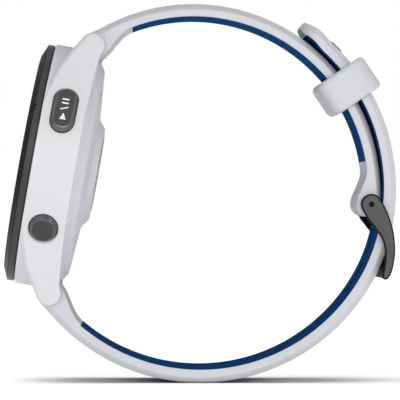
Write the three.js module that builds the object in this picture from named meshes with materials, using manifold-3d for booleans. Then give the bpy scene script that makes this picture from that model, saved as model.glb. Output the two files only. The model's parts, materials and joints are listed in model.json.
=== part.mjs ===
// GPS running watch on its buckled band, standing on the band. Millimetres, +Z up.
// +X runs from the dial to the buckle, -Y is the side with two buttons, and the
// ground is Z = 0. The head leans back a little, as it does on a closed band.

import * as THREE from 'three';
import { mergeVertices } from 'three/addons/utils/BufferGeometryUtils.js';
import Module from 'manifold-3d';

const wasm = await Module();
wasm.setup();

// ---------------------------------------------------------------- dimensions

const GAP = 0.3; // running clearance between pieces
const ROUND = 36; // facets of a large circle

// Head. Depth is counted from the dial's front, reach from the dial's centre
// towards twelve o'clock, radius from the dial's axis.
const HEAD_TILT = 10.1; // degrees
const HEAD_FRONT = { x: -33.4, z: 41.8 };
const CASE_RADIUS = 23.05;
const CAVITY_RADIUS = 19.4;
const CASE_FRONT = 2.45;
const CASE_CREASE = 10.4;
const BEZEL_RADIUS = 22.75;
const BEZEL_WINDOW = 18.2;
const LUG_INSIDE = 11.3;
const LUG_OUTSIDE = 13.8;
const LUG_TIP_RADIUS = 2.35;
const BAR = { depth: 9.4, reach: 23.6 };
const COVER_RADIUS = 20.6;
const SENSOR_RADIUS = 7.6;
const SCREW_CIRCLE = 17.2;
const SCREW_ANGLES = [52, 128, 232, 308];

// Buttons: angle from three o'clock towards twelve, length and width of the cap.
const BUTTON_DEPTH = 6.5;
const BUTTON_TRAVEL = 0.5;
const BUTTON_TOP = 23.9;
const BUTTON_POCKET = 21.6;
const BUTTONS = [
  { name: 'start_button', angle: 27.1, length: 8.95, width: 4.5 },
  { name: 'back_button', angle: -30.3, length: 5.6, width: 5.3 },
  { name: 'light_button', angle: 150, length: 5.5, width: 5.5 },
  { name: 'up_button', angle: 180, length: 5.5, width: 5.5 },
  { name: 'down_button', angle: 210, length: 5.5, width: 5.5 },
];

// Band. Both halves are arcs; angles are counted from +X towards +Z.
const BAND_WIDTH = 22;
const BAND_THICK = 2.45;
const LINER_THICK = 0.45;
const LINER_GAP = 0.12;
const BEVEL = { high: 1.1, wide: 1.6 };
const ROOT_RADIUS = 2.45;
const ROOT_BLEND = 14; // degrees over which a root swells
const LOOP = { x: 0.2, z: 37.27, radius: 37.27 };
const TAIL_SINK = 0.5; // the tail lies this much nearer the loop's centre
const TIP_SINK = 0.25; // then this much more
const TIP_FLARE = 0.45; // and its free end stands off again
const TAIL_END = 57.6;
const TIP_START = 49;
const SHORT_ARC = { x: -1.09, z: 36.09, radius: 35.3 };
const BULB = { start: 7.5, centre: -4.3, inward: 2.1, outward: 0.15 };
const HOLE = { first: -34.3, pitch: 7.1, count: 12, length: 3.4, width: 2.8 };
const TAG = { angle: 45.4, long: 2.6, wide: 13, proud: 0.3, deep: 0.7 };

// Buckle and keeper
const PIN = { x: 32.28, z: 33.6, radius: 0.6 };
const ARM = { inside: 11.3, outside: 12.7 };
const ARM_STEPS = 44;
const NOTCH = { angle: -23, reach: 38.05 };
const TANG = { wide: 2, thick: 0.7, ring: 1.6 };
const KEEPER = { angle: 34.1, inner: 30.1, outer: 40.5, long: 6.75, width: 26.5 };
const KEEPER_ROOM = { inner: 32.3, outer: 38.75 };

// ------------------------------------------------------------------- colours

const finish = (color, roughness, metalness = 0) => () =>
  new THREE.MeshStandardMaterial({ color, roughness, metalness });
const WHITE_POLYMER = finish('#dcdee3', 0.5);
const WHITE_SILICONE = finish('#e3e5ea', 0.6);
const NAVY_SILICONE = finish('#1c4a7c', 0.6);
const DARK_BEZEL = finish('#3a3b3d', 0.35, 0.3);
const DARK_KEY = finish('#4c4e50', 0.35, 0.4);
const DARK_STEEL = finish('#4a4a4c', 0.3, 0.8);
const BRIGHT_STEEL = finish('#b6b8bc', 0.3, 0.9);
const GLASS = finish('#15171a', 0.05);
const DISPLAY = finish('#0b0c0e', 0.25);
const BLACK_PLASTIC = finish('#222326', 0.5);
const BOARD = finish('#1d4d33', 0.6);
const FOIL = finish('#9a9da2', 0.4, 0.6);
const GOLD = finish('#c9a255', 0.3, 0.9);
const RUBBER = finish('#17181a', 0.8);

// ------------------------------------------------------------------- helpers

const rad = THREE.MathUtils.degToRad;
const clamp01 = (t) => Math.min(1, Math.max(0, t));
const smooth = (t) => clamp01(t) ** 2 * (3 - 2 * clamp01(t));
const polar = (centre, angle, radius) =>
  new THREE.Vector2(
    centre.x + radius * Math.cos(rad(angle)),
    centre.z + radius * Math.sin(rad(angle)),
  );

// Merged vertices, no empty faces, and faces pointing out.
function closed(source) {
  const bare = source.clone();
  bare.deleteAttribute('normal');
  bare.deleteAttribute('uv');
  const merged = mergeVertices(bare, 1e-5);
  const position = merged.attributes.position;
  const corner = (i) => new THREE.Vector3().fromBufferAttribute(position, i);
  const faces = [];
  let volume = 0;
  for (let i = 0; i < merged.index.count; i += 3) {
    const [a, b, c] = [0, 1, 2].map((k) => merged.index.getX(i + k));
    if (a === b || b === c || c === a) continue;
    faces.push([a, b, c]);
    volume += corner(a).dot(corner(b).cross(corner(c)));
  }
  merged.setIndex(faces.flatMap(([a, b, c]) => (volume > 0 ? [a, b, c] : [a, c, b])));
  return merged;
}

function solid(source) {
  const geometry = closed(source);
  return new wasm.Manifold(
    new wasm.Mesh({
      numProp: 3,
      vertProperties: new Float32Array(geometry.attributes.position.array),
      triVerts: new Uint32Array(geometry.index.array),
    }),
  );
}

function geometryOf(body) {
  const mesh = body.getMesh();
  const geometry = new THREE.BufferGeometry();
  geometry.setAttribute('position', new THREE.Float32BufferAttribute(mesh.vertProperties, 3));
  geometry.setIndex(Array.from(mesh.triVerts));
  return geometry;
}

const union = (...shapes) => shapes.map(solid).reduce((a, b) => a.add(b));
const cut = (body, ...shapes) => shapes.map(solid).reduce((a, b) => a.subtract(b), body);

function piece(name, geometry, material) {
  const tidy = closed(geometry);
  tidy.computeVertexNormals();
  const mesh = new THREE.Mesh(tidy, material());
  mesh.name = name;
  return mesh;
}

// A turned solid about the X axis from [radius, depth] pairs.
function turned(profile, facets = ROUND) {
  const points = profile.map(([radius, depth]) => new THREE.Vector2(radius, depth));
  return new THREE.LatheGeometry(points, facets).rotateZ(-Math.PI / 2);
}

const ring = (inner, outer, front, back, facets) =>
  turned([[inner, front], [outer, front], [outer, back], [inner, back], [inner, front]], facets);

const disc = (radius, front, back, facets) =>
  turned([[0, front], [radius, front], [radius, back], [0, back]], facets);

// A shape drawn in X and Z, carried across Y between two faces.
function across(shape, from, to, curveSegments = 8) {
  const options = { depth: to - from, bevelEnabled: false, curveSegments };
  return new THREE.ExtrudeGeometry(shape, options)
    .translate(0, 0, -to)
    .rotateX(Math.PI / 2);
}

// A shape drawn in Y and Z, carried along X between two faces.
function along(shape, from, to, curveSegments = 8) {
  const options = { depth: to - from, bevelEnabled: false, curveSegments };
  const turn = new THREE.Matrix4().makeBasis(
    new THREE.Vector3(0, 1, 0),
    new THREE.Vector3(0, 0, 1),
    new THREE.Vector3(1, 0, 0),
  );
  return new THREE.ExtrudeGeometry(shape, options).translate(0, 0, from).applyMatrix4(turn);
}

function block(low, high) {
  const size = high.map((value, i) => value - low[i]);
  const middle = high.map((value, i) => (value + low[i]) / 2);
  return new THREE.BoxGeometry(...size).translate(...middle);
}

// A round bar parallel to Y.
const rod = (x, z, radius, from, to, facets = 16) =>
  new THREE.CylinderGeometry(radius, radius, to - from, facets)
    .translate(x, (from + to) / 2, z);

const outline = (points) => new THREE.Shape(points.map(([x, y]) => new THREE.Vector2(x, y)));

// A rectangle with round corners, centred on the origin.
function roundedRect(width, height, radius) {
  const shape = new THREE.Shape();
  const x = width / 2 - radius;
  const y = height / 2 - radius;
  shape.absarc(x, y, radius, 0, Math.PI / 2);
  shape.absarc(-x, y, radius, Math.PI / 2, Math.PI);
  shape.absarc(-x, -y, radius, Math.PI, Math.PI * 1.5);
  shape.absarc(x, -y, radius, Math.PI * 1.5, Math.PI * 2);
  return shape;
}

// A pill as wide as its round ends, or a circle where it is no longer than wide.
function pill(width, length) {
  const shape = new THREE.Shape();
  const offset = (length - width) / 2;
  shape.absarc(0, offset, width / 2, 0, Math.PI);
  shape.absarc(0, -offset, width / 2, Math.PI, Math.PI * 2);
  return shape;
}

// A closed skin over rings of equal point count, with a flat cap at each end.
function loft(rings) {
  const count = rings[0].length;
  const points = rings.flat();
  const faces = [];
  for (let r = 0; r < rings.length - 1; r++) {
    for (let i = 0; i < count; i++) {
      const [a, b] = [r * count + i, r * count + ((i + 1) % count)];
      faces.push(a, b, b + count, a, b + count, a + count);
    }
  }
  const last = (rings.length - 1) * count;
  for (let i = 1; i < count - 1; i++) {
    faces.push(0, i + 1, i, last, last + i, last + i + 1);
  }
  const geometry = new THREE.BufferGeometry().setFromPoints(points);
  geometry.setIndex(faces);
  return geometry;
}

// ---------------------------------------------------------------------- head

const head = new THREE.Group();
head.position.set(HEAD_FRONT.x, 0, HEAD_FRONT.z);
head.rotation.y = rad(HEAD_TILT);

// A button's parts are drawn with Z along its travel, pointing out of the case,
// X along the case's depth and Y round its rim, then turned to their place.
const buttonTurn = (angle) =>
  new THREE.Matrix4()
    .makeRotationX(-rad(angle))
    .multiply(new THREE.Matrix4().makeRotationX(Math.PI / 2));

function outward(shape, from, to, curveSegments = 7) {
  const options = { depth: to - from, bevelEnabled: false, curveSegments };
  return new THREE.ExtrudeGeometry(shape, options).translate(BUTTON_DEPTH, 0, from);
}

const stem = (radius, from, to, facets = 10) =>
  new THREE.CylinderGeometry(radius, radius, to - from, facets)
    .rotateX(Math.PI / 2)
    .translate(BUTTON_DEPTH, 0, (from + to) / 2);

const STEM_RADIUS = 0.7;
const STEM_END = 18.9;
const SEAL = { radius: 1.25, section: 0.22, reach: 20.6 };
const STEM_BORE = 1.8;
const CAP_BOTTOM = 22.5;
const CAP_STEP = 23.3;
const CAP_DRAFT = 0.5;

function buttonCap({ length, width }) {
  const base = pill(width, length);
  const top = pill(width - 2 * CAP_DRAFT, length - 2 * CAP_DRAFT);
  return geometryOf(
    union(
      outward(base, CAP_BOTTOM, CAP_STEP),
      outward(top, CAP_STEP - 0.1, BUTTON_TOP),
      stem(STEM_RADIUS, STEM_END, CAP_BOTTOM + 0.1),
    ),
  );
}

function addButton(button) {
  const turn = buttonTurn(button.angle);
  const seal = new THREE.TorusGeometry(SEAL.radius, SEAL.section, 5, 10)
    .translate(BUTTON_DEPTH, 0, SEAL.reach);
  const switchTop = STEM_END - BUTTON_TRAVEL - 0.15;
  const dome = new THREE.CylinderGeometry(0.8, 1.1, 0.5, 8)
    .rotateX(Math.PI / 2)
    .translate(BUTTON_DEPTH, 0, switchTop - 0.25);
  const housing = block(
    [BUTTON_DEPTH - 1.3, -1.7, switchTop - 1.6],
    [BUTTON_DEPTH + 1.3, 1.7, switchTop - 0.4],
  );
  const switchBody = geometryOf(union(dome, housing));
  head.add(
    piece(button.name, buttonCap(button).applyMatrix4(turn), DARK_KEY),
    piece(`${button.name}_seal`, seal.applyMatrix4(turn), RUBBER),
    piece(`${button.name}_switch`, switchBody.applyMatrix4(turn), BLACK_PLASTIC),
  );
}

function addMidCase() {
  const barrel = turned([
    [CAVITY_RADIUS, CASE_FRONT],
    [CASE_RADIUS - 0.25, CASE_FRONT],
    [CASE_RADIUS, CASE_FRONT + 1.1],
    [CASE_RADIUS, CASE_CREASE],
    [COVER_RADIUS + 0.35, CASE_CREASE + 1.1],
    [COVER_RADIUS + 0.35, CASE_CREASE + 0.1],
    [CAVITY_RADIUS, CASE_CREASE + 0.1],
    [CAVITY_RADIUS, CASE_FRONT],
  ]);

  // Side view of one half, from the middle of the case to a lug's tip and back.
  const half = [
    [CASE_FRONT, 11.6],
    [2.9, 15.3],
    [4.3, 19.4],
    [5.55, 21.5],
    [6.3, 22.9],
  ];
  const tipTurns = 5;
  for (let i = 0; i <= tipTurns; i++) {
    const angle = rad(165 - (185 * i) / tipTurns);
    half.push([
      BAR.depth + LUG_TIP_RADIUS * Math.cos(angle),
      BAR.reach + LUG_TIP_RADIUS * Math.sin(angle),
    ]);
  }
  half.push([11.1, 21.2], [10.9, 18.1], [10.6, 13.2], [CASE_CREASE, 6.4]);
  const lower = half.map(([depth, reach]) => [depth, -reach]).reverse();
  const side = across(outline([...half, ...lower]), -30, 30);

  // Front view: a circle whose tangents run straight out to the lugs' tips.
  const tip = { y: LUG_OUTSIDE, z: 24.5 };
  const flank = CASE_RADIUS + 0.02;
  const distance = Math.hypot(tip.y, tip.z);
  const leave = Math.atan2(tip.z, tip.y) - Math.acos(flank / distance);
  const flankSteps = 6;
  const right = [];
  for (let i = 0; i <= flankSteps; i++) {
    const angle = leave * (1 - (2 * i) / flankSteps);
    right.push([flank * Math.cos(angle), flank * Math.sin(angle)]);
  }
  right.unshift([tip.y, 30], [tip.y, tip.z]);
  right.push([tip.y, -tip.z], [tip.y, -30]);
  const left = right.map(([y, z]) => [-y, z]).reverse();
  const front = along(outline([...right, ...left]), 0, 14);

  const lugs = solid(side).intersect(solid(front));
  let body = solid(barrel).add(
    cut(lugs, disc(CASE_RADIUS - 1, -1, 15)),
  );

  // Bosses for the back's screws, with their blind holes.
  for (const angle of SCREW_ANGLES) {
    const y = -SCREW_CIRCLE * Math.cos(rad(angle));
    const z = SCREW_CIRCLE * Math.sin(rad(angle));
    const boss = disc(1.7, 6, CASE_CREASE + 0.1, 8).translate(0, y, z);
    const web = block([6, -1.3, 0], [CASE_CREASE + 0.1, 1.3, 3.6])
      .rotateX(rad(90 - angle))
      .translate(0, y, z);
    body = body.add(solid(boss)).add(solid(web).intersect(solid(disc(CASE_RADIUS - 1, 0, 12))));
    body = cut(body, disc(0.9, 7, 14, 8).translate(0, y, z));
  }

  // The band's slots between the lugs, and blind sockets for the bars' tips.
  for (const side of [1, -1]) {
    const z = side * BAR.reach;
    const room = ROOT_RADIUS + 0.45;
    const rear = block([BAR.depth, -LUG_INSIDE, z - room], [16, LUG_INSIDE, z + room]);
    const tail = block([BAR.depth - room, -LUG_INSIDE, z], [16, LUG_INSIDE, z + side * 6]);
    body = cut(
      body,
      rod(BAR.depth, z, room, -LUG_INSIDE, LUG_INSIDE, 16),
      rear,
      tail,
      rod(BAR.depth, z, 0.75, -12.6, 12.6, 8),
    );
  }

  // Pockets and bores for the buttons.
  for (const button of BUTTONS) {
    const turn = buttonTurn(button.angle);
    const spread = 2 * GAP;
    const mouth = pill(button.width + spread, button.length + spread);
    body = cut(
      body,
      outward(mouth, BUTTON_POCKET, 30).applyMatrix4(turn),
      stem(STEM_BORE, 18, 22).applyMatrix4(turn),
    );
  }
  head.add(piece('mid_case', geometryOf(body), WHITE_POLYMER));
}

function addFront() {
  const bezel = turned([
    [BEZEL_WINDOW, 0.15],
    [BEZEL_WINDOW + 0.2, 0],
    [20.5, 0],
    [BEZEL_RADIUS, 0.97],
    [BEZEL_RADIUS, CASE_FRONT - GAP],
    [BEZEL_WINDOW + 0.6, CASE_FRONT - GAP],
    [BEZEL_WINDOW, 1.5],
    [BEZEL_WINDOW, 0.15],
  ]);
  const lensEdge = BEZEL_WINDOW - GAP;
  const lens = turned([[0, 0.2], [lensEdge - 0.3, 0.2], [lensEdge, 0.4], [lensEdge, 1.3], [0, 1.3]]);
  const tray = turned([
    [0, 3.1],
    [17.5, 3.1],
    [17.5, 2.3],
    [18.2, 2.3],
    [18.9, 2.7],
    [18.9, 3.8],
    [0, 3.8],
  ], 30);
  head.add(
    piece('bezel_ring', bezel, DARK_BEZEL),
    piece('lens', lens, GLASS),
    piece('display_panel', disc(17.1, 1.6, 2.8, 30), DISPLAY),
    piece('display_tray', tray, BLACK_PLASTIC),
  );
}

function addInside() {
  const board = new THREE.Shape();
  const notch = rad(24);
  board.absarc(0, 0, 15.8, notch, 2 * Math.PI - notch);
  board.lineTo(12.4, 0);
  const battery = along(roundedRect(21, 17, 2.5), 5.6, 9.3, 3).translate(0, 0, 2);
  const motor = new THREE.CylinderGeometry(1.6, 1.6, 7, 12)
    .rotateX(Math.PI / 2)
    .rotateX(Math.PI / 2)
    .translate(7.6, 5, -10.4);
  const beeper = disc(3.6, 5.6, 6.4, 14).translate(0, -5, -11.3);
  const sweep = rad(66);
  const antenna = new THREE.Shape();
  antenna.absarc(0, 0, 18.8, Math.PI / 2 - sweep / 2, Math.PI / 2 + sweep / 2);
  antenna.absarc(0, 0, 18, Math.PI / 2 + sweep / 2, Math.PI / 2 - sweep / 2, true);
  head.add(
    piece('main_board', along(board, 4.2, 5, 14), BOARD),
    piece('battery', battery, FOIL),
    piece('vibration_motor', motor, BRIGHT_STEEL),
    piece('beeper_disc', beeper, GOLD),
    piece('gps_antenna', along(antenna, 4.4, 5.8, 6), GOLD),
    piece('sensor_board', disc(7.4, 10.9, 11.6, 18), BOARD),
  );
}

function addBack() {
  const shell = turned([
    [SENSOR_RADIUS + GAP, 10.9],
    [SENSOR_RADIUS + 2, 10.9],
    [SENSOR_RADIUS + 2, 11.8],
    [14.6, 11.4],
    [15, 10.9],
    [CAVITY_RADIUS - 0.5, 10.9],
    [CAVITY_RADIUS - 0.5, 11.1],
    [COVER_RADIUS, 11.1],
    [COVER_RADIUS, 11.5],
    [19.6, 12.3],
    [10.4, 13.05],
    [8.8, 14.25],
    [SENSOR_RADIUS + GAP, 14.35],
    [SENSOR_RADIUS + GAP, 10.9],
  ], 30);
  const port = along(roundedRect(8.6, 3.6, 1), 12.1, 14, 2).translate(0, 0, -14.2);
  let cover = cut(solid(shell), port);
  SCREW_ANGLES.forEach((angle, i) => {
    const y = -SCREW_CIRCLE * Math.cos(rad(angle));
    const z = SCREW_CIRCLE * Math.sin(rad(angle));
    cover = cut(
      cover,
      disc(1.7, 11.9, 14, 10).translate(0, y, z),
      disc(0.9, 9, 14, 8).translate(0, y, z),
    );
    const shank = disc(0.6, 7.8, 12.3, 8);
    const cap = disc(1.35, 12.2, 12.75, 12);
    const drive = disc(0.5, 12.45, 13, 6);
    const screw = cut(union(shank, cap), drive);
    head.add(piece(`rear_screw_${i + 1}`, geometryOf(screw).translate(0, y, z), BRIGHT_STEEL));
  });

  const contactPitch = 1.9;
  for (let i = 0; i < 4; i++) {
    const y = (i - 1.5) * contactPitch;
    cover = cut(cover, disc(0.75, 10, 14, 8).translate(0, y, -14.2));
    const contact = disc(0.45, 10.6, 12.5, 8).translate(0, y, -14.2);
    head.add(piece(`charge_contact_${i + 1}`, contact, GOLD));
  }

  const window = turned([
    [0, 12.6],
    [SENSOR_RADIUS, 12.6],
    [SENSOR_RADIUS, 14.3],
    [SENSOR_RADIUS - 0.3, 14.45],
    [0, 14.45],
  ], 30);
  head.add(
    piece('rear_cover', geometryOf(cover), WHITE_POLYMER),
    piece('case_gasket', ring(19.75, 20.45, 10.62, 10.95, 24), RUBBER),
    piece('sensor_window', window, GLASS),
  );
}

addFront();
addInside();
addMidCase();
BUTTONS.forEach(addButton);
addBack();

// ---------------------------------------------------------------------- band

const band = new THREE.Group();

// The bars' places, from the head's frame to the band's.
function barPlace(side) {
  const tilt = rad(HEAD_TILT);
  const reach = side * BAR.reach;
  return {
    x: HEAD_FRONT.x + BAR.depth * Math.cos(tilt) + reach * Math.sin(tilt),
    z: HEAD_FRONT.z - BAR.depth * Math.sin(tilt) + reach * Math.cos(tilt),
  };
}
const UPPER_BAR = barPlace(1);
const LOWER_BAR = barPlace(-1);
const angleAbout = (centre, point) =>
  THREE.MathUtils.radToDeg(Math.atan2(point.z - centre.z, point.x - centre.x));

// One cross-section of a strap, flat inside and bevelled along its outer edges.
function rib(outer, inner, halfWidth = BAND_WIDTH / 2, bevel = BEVEL) {
  const thick = outer.distanceTo(inner);
  const high = Math.min(bevel.high, 0.45 * thick) / thick;
  const shoulder = outer.clone().lerp(inner, high);
  const wide = bevel.wide * Math.min(1, thick / 2);
  return [
    [inner, -halfWidth],
    [inner, halfWidth],
    [shoulder, halfWidth],
    [outer, halfWidth - wide],
    [outer, wide - halfWidth],
    [shoulder, -halfWidth],
  ].map(([point, y]) => new THREE.Vector3(point.x, y, point.y));
}

// Ribs over the round end of a strap, from its far side to its full width.
function roundEnd(centre, angle, radius, heading) {
  const ribs = [];
  const forward = new THREE.Vector2(Math.sin(rad(angle)), -Math.cos(rad(angle)));
  forward.multiplyScalar(heading);
  const outwards = new THREE.Vector2(Math.cos(rad(angle)), Math.sin(rad(angle)));
  const middle = new THREE.Vector2(centre.x, centre.z);
  for (const share of [-80, -60, -40, -20]) {
    const back = radius * Math.sin(rad(share));
    const chord = radius * Math.cos(rad(share));
    const foot = middle.clone().addScaledVector(forward, back);
    ribs.push(rib(
      foot.clone().addScaledVector(outwards, chord),
      foot.clone().addScaledVector(outwards, -chord),
    ));
  }
  return ribs;
}

const swell = (t) => clamp01(t) ** 1.5;

// Short half: from the upper bar over the top to the bulb round the buckle's pin.
const SHORT_ROOT = angleAbout(SHORT_ARC, UPPER_BAR);
const SHORT_BAR_REACH = Math.hypot(UPPER_BAR.x - SHORT_ARC.x, UPPER_BAR.z - SHORT_ARC.z);
const SHORT_LINER = { from: 9.9, to: 110.4 };

function shortRibs() {
  const inside = SHORT_ARC.radius - BAND_THICK;
  const rootInside = SHORT_BAR_REACH - ROOT_RADIUS;
  const bulb = (angle) => smooth((BULB.start - angle) / (BULB.start - BULB.centre));
  const outerAt = (angle) => {
    const root = clamp01((angle - SHORT_ROOT + 4) / 4);
    return SHORT_ARC.radius + BULB.outward * bulb(angle)
      + (SHORT_BAR_REACH + ROOT_RADIUS - SHORT_ARC.radius) * root;
  };
  const innerAt = (angle, lined) => {
    const root = swell((angle - SHORT_ROOT + ROOT_BLEND) / ROOT_BLEND);
    const step = lined ? LINER_THICK + LINER_GAP : 0;
    return inside + step - (inside - rootInside) * root - BULB.inward * bulb(angle);
  };
  const at = (angle, lined = false) =>
    rib(polar(SHORT_ARC, angle, outerAt(angle)), polar(SHORT_ARC, angle, innerAt(angle, lined)));

  const ribs = roundEnd(UPPER_BAR, SHORT_ROOT, ROOT_RADIUS, 1);
  for (const back of [0, 2.5, 5, 7.5, 10]) ribs.push(at(SHORT_ROOT - back));
  ribs.push(at(SHORT_LINER.to + 0.3));
  const steps = 16;
  for (let i = 0; i <= steps; i++) {
    const angle = SHORT_LINER.to + ((SHORT_LINER.from - SHORT_LINER.to) * i) / steps;
    ribs.push(at(angle, true));
  }
  for (const angle of [9.6, 6, 3.5, 1, -1.5]) ribs.push(at(angle));
  const bulbReach = (outerAt(BULB.centre) + innerAt(BULB.centre)) / 2;
  const bulbRadius = (outerAt(BULB.centre) - innerAt(BULB.centre)) / 2;
  const middle = polar(SHORT_ARC, BULB.centre, bulbReach);
  ribs.push(at(BULB.centre));
  const end = roundEnd({ x: middle.x, z: middle.y }, BULB.centre, bulbRadius, -1);
  ribs.push(...end.reverse());
  return ribs;
}

// Long half: from the lower bar under the loop and up outside the short half.
const LONG_ROOT = angleAbout(LOOP, LOWER_BAR);
const LONG_BAR_REACH = Math.hypot(LOWER_BAR.x - LOOP.x, LOWER_BAR.z - LOOP.z);
// One flat facet of the long half is centred on the ground.
const LONG_STEPS = 29;
const LONG_STEP = 6.4;
const LONG_LINER = { from: -90 - 6.5 * LONG_STEP, to: -90 + 22.5 * LONG_STEP };
const loopRadius = (angle) =>
  LOOP.radius - TAIL_SINK * smooth((angle + 30) / 45)
  - TIP_SINK * smooth((angle - 15) / 30) + TIP_FLARE * smooth((angle - 47) / 6);

function longRibs() {
  const inside = (angle) => loopRadius(angle) - BAND_THICK;
  const rootInside = LONG_BAR_REACH - ROOT_RADIUS;
  const innerAt = (angle, lined) => {
    const root = swell((LONG_ROOT + ROOT_BLEND - angle) / ROOT_BLEND);
    const step = lined ? LINER_THICK + LINER_GAP : 0;
    return inside(angle) + step - (inside(angle) - rootInside) * root;
  };
  const outerAt = (angle) => {
    const root = clamp01((LONG_ROOT + 4 - angle) / 4);
    const tip = clamp01((angle - 52.3) / (TAIL_END - 52.3));
    return loopRadius(angle) - 0.5 * tip
      + (LONG_BAR_REACH + ROOT_RADIUS - LOOP.radius) * root;
  };
  const halfWidthAt = (angle) => {
    const tip = clamp01((angle - TIP_START) / (TAIL_END - TIP_START));
    return (BAND_WIDTH / 2) * (1 - 0.36 * tip ** 2.2);
  };
  const at = (angle, lined = false) =>
    rib(
      polar(LOOP, angle, outerAt(angle)),
      polar(LOOP, angle, innerAt(angle, lined)),
      halfWidthAt(angle),
    );

  const ribs = roundEnd(LOWER_BAR, LONG_ROOT, ROOT_RADIUS, -1);
  for (const on of [0, 2.5, 5, 7.5, 10]) ribs.push(at(LONG_ROOT + on));
  ribs.push(at(LONG_LINER.from - 0.3));
  for (let i = 0; i <= LONG_STEPS; i++) ribs.push(at(LONG_LINER.from + LONG_STEP * i, true));
  for (const angle of [LONG_LINER.to + 0.2, 56, TAIL_END]) ribs.push(at(angle));
  return ribs;
}

// A liner follows the inside of its half, a little narrower than the strap.
function linerRibs(centre, from, to, steps, insideAt, halfWidthAt) {
  const ribs = [];
  for (let i = 0; i <= steps; i++) {
    const angle = from + ((to - from) * i) / steps;
    const outer = polar(centre, angle, insideAt(angle) + LINER_THICK);
    const inner = polar(centre, angle, insideAt(angle));
    const half = halfWidthAt(angle);
    ribs.push([
      [inner, -half],
      [inner, half],
      [outer, half],
      [outer, -half],
    ].map(([point, y]) => new THREE.Vector3(point.x, y, point.y)));
  }
  return ribs;
}

// A cutter for one adjustment hole, square to the band at an angle.
function holeCutter(angle) {
  return along(pill(HOLE.width, HOLE.length), 32, 40, 4)
    .rotateY(-rad(angle))
    .translate(LOOP.x, 0, LOOP.z);
}

function addStraps() {
  const bore = (bar) => rod(bar.x, bar.z, 1.2, -20, 20, 14);
  const knobSlot = (bar, tilt) =>
    block([-0.8, 5.2, -4], [0.8, 9.6, 0])
      .rotateY(rad(tilt))
      .translate(bar.x, 0, bar.z);

  // The short half's bulb is slotted for the tang and bored for the pin.
  const tangSlot = block([29, -1.5, 28], [38, 1.5, 36]);
  const shortStrap = cut(
    solid(loft(shortRibs())),
    bore(UPPER_BAR),
    knobSlot(UPPER_BAR, -40),
    rod(PIN.x, PIN.z, PIN.radius + GAP, -20, 20, 12),
    tangSlot,
  );
  band.add(piece('short_strap', geometryOf(shortStrap), WHITE_SILICONE));

  let longStrap = cut(solid(loft(longRibs())), bore(LOWER_BAR), knobSlot(LOWER_BAR, -65));
  const linerHalf = BAND_WIDTH / 2 - 0.2;
  const longLinerRibs = linerRibs(
    LOOP,
    LONG_LINER.from + 0.15,
    LONG_LINER.to - 0.15,
    LONG_STEPS,
    (angle) => loopRadius(angle) - BAND_THICK,
    (angle) => linerHalf - 2.2 * smooth((angle - TIP_START) / (TAIL_END - TIP_START)),
  );
  let longLiner = solid(loft(longLinerRibs));
  for (let i = 0; i < HOLE.count; i++) {
    const cutter = holeCutter(HOLE.first + i * HOLE.pitch);
    longStrap = cut(longStrap, cutter);
    longLiner = cut(longLiner, cutter);
  }

  // The tag lies in a shallow pocket on the tail's outside.
  const top = loopRadius(TAG.angle);
  const tagAt = (inside, outside, spread) =>
    along(roundedRect(TAG.wide + spread, TAG.long + spread, 0.6), inside, outside, 2)
      .rotateY(-rad(TAG.angle))
      .translate(LOOP.x, 0, LOOP.z);
  longStrap = cut(longStrap, tagAt(top - TAG.deep, top + 3, 2 * GAP));
  const tag = tagAt(top - TAG.deep + GAP, top + TAG.proud, 0);

  const shortLinerRibs = linerRibs(
    SHORT_ARC,
    SHORT_LINER.from + 0.3,
    SHORT_LINER.to - 0.3,
    16,
    () => SHORT_ARC.radius - BAND_THICK,
    () => linerHalf,
  );
  band.add(
    piece('long_strap', geometryOf(longStrap), WHITE_SILICONE),
    piece('short_strap_liner', loft(shortLinerRibs), NAVY_SILICONE),
    piece('long_strap_liner', geometryOf(longLiner), NAVY_SILICONE),
    piece('strap_tag', tag, BLACK_PLASTIC),
  );
}

// A spring bar is a barrel with one fixed tip, and a plunger with a thumb knob.
// The upper bar is latched in its lugs; the lower one is drawn in.
function addSpringBar(name, bar, tip, knobTilt, plungerShift) {
  const barrel = union(
    rod(bar.x, bar.z, 0.9, -10.6, 5, 12),
    rod(bar.x, bar.z, 0.45, -tip, -10.5, 10),
  );
  const knob = new THREE.CylinderGeometry(0.5, 0.5, 2.8, 10)
    .rotateX(Math.PI / 2)
    .translate(0, 8.2 + plungerShift, -1.4)
    .rotateY(rad(knobTilt))
    .translate(bar.x, 0, bar.z);
  const plunger = union(
    rod(bar.x, bar.z, 0.9, 7 + plungerShift, 10.6 + plungerShift, 12),
    rod(bar.x, bar.z, 0.45, 10.5 + plungerShift, 12.2 + plungerShift, 10),
    knob,
  );
  band.add(
    piece(`spring_bar_${name}`, geometryOf(barrel), BRIGHT_STEEL),
    piece(`quick_release_${name}`, geometryOf(plunger), BRIGHT_STEEL),
  );
}

// ---------------------------------------------------------- buckle and keeper

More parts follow.
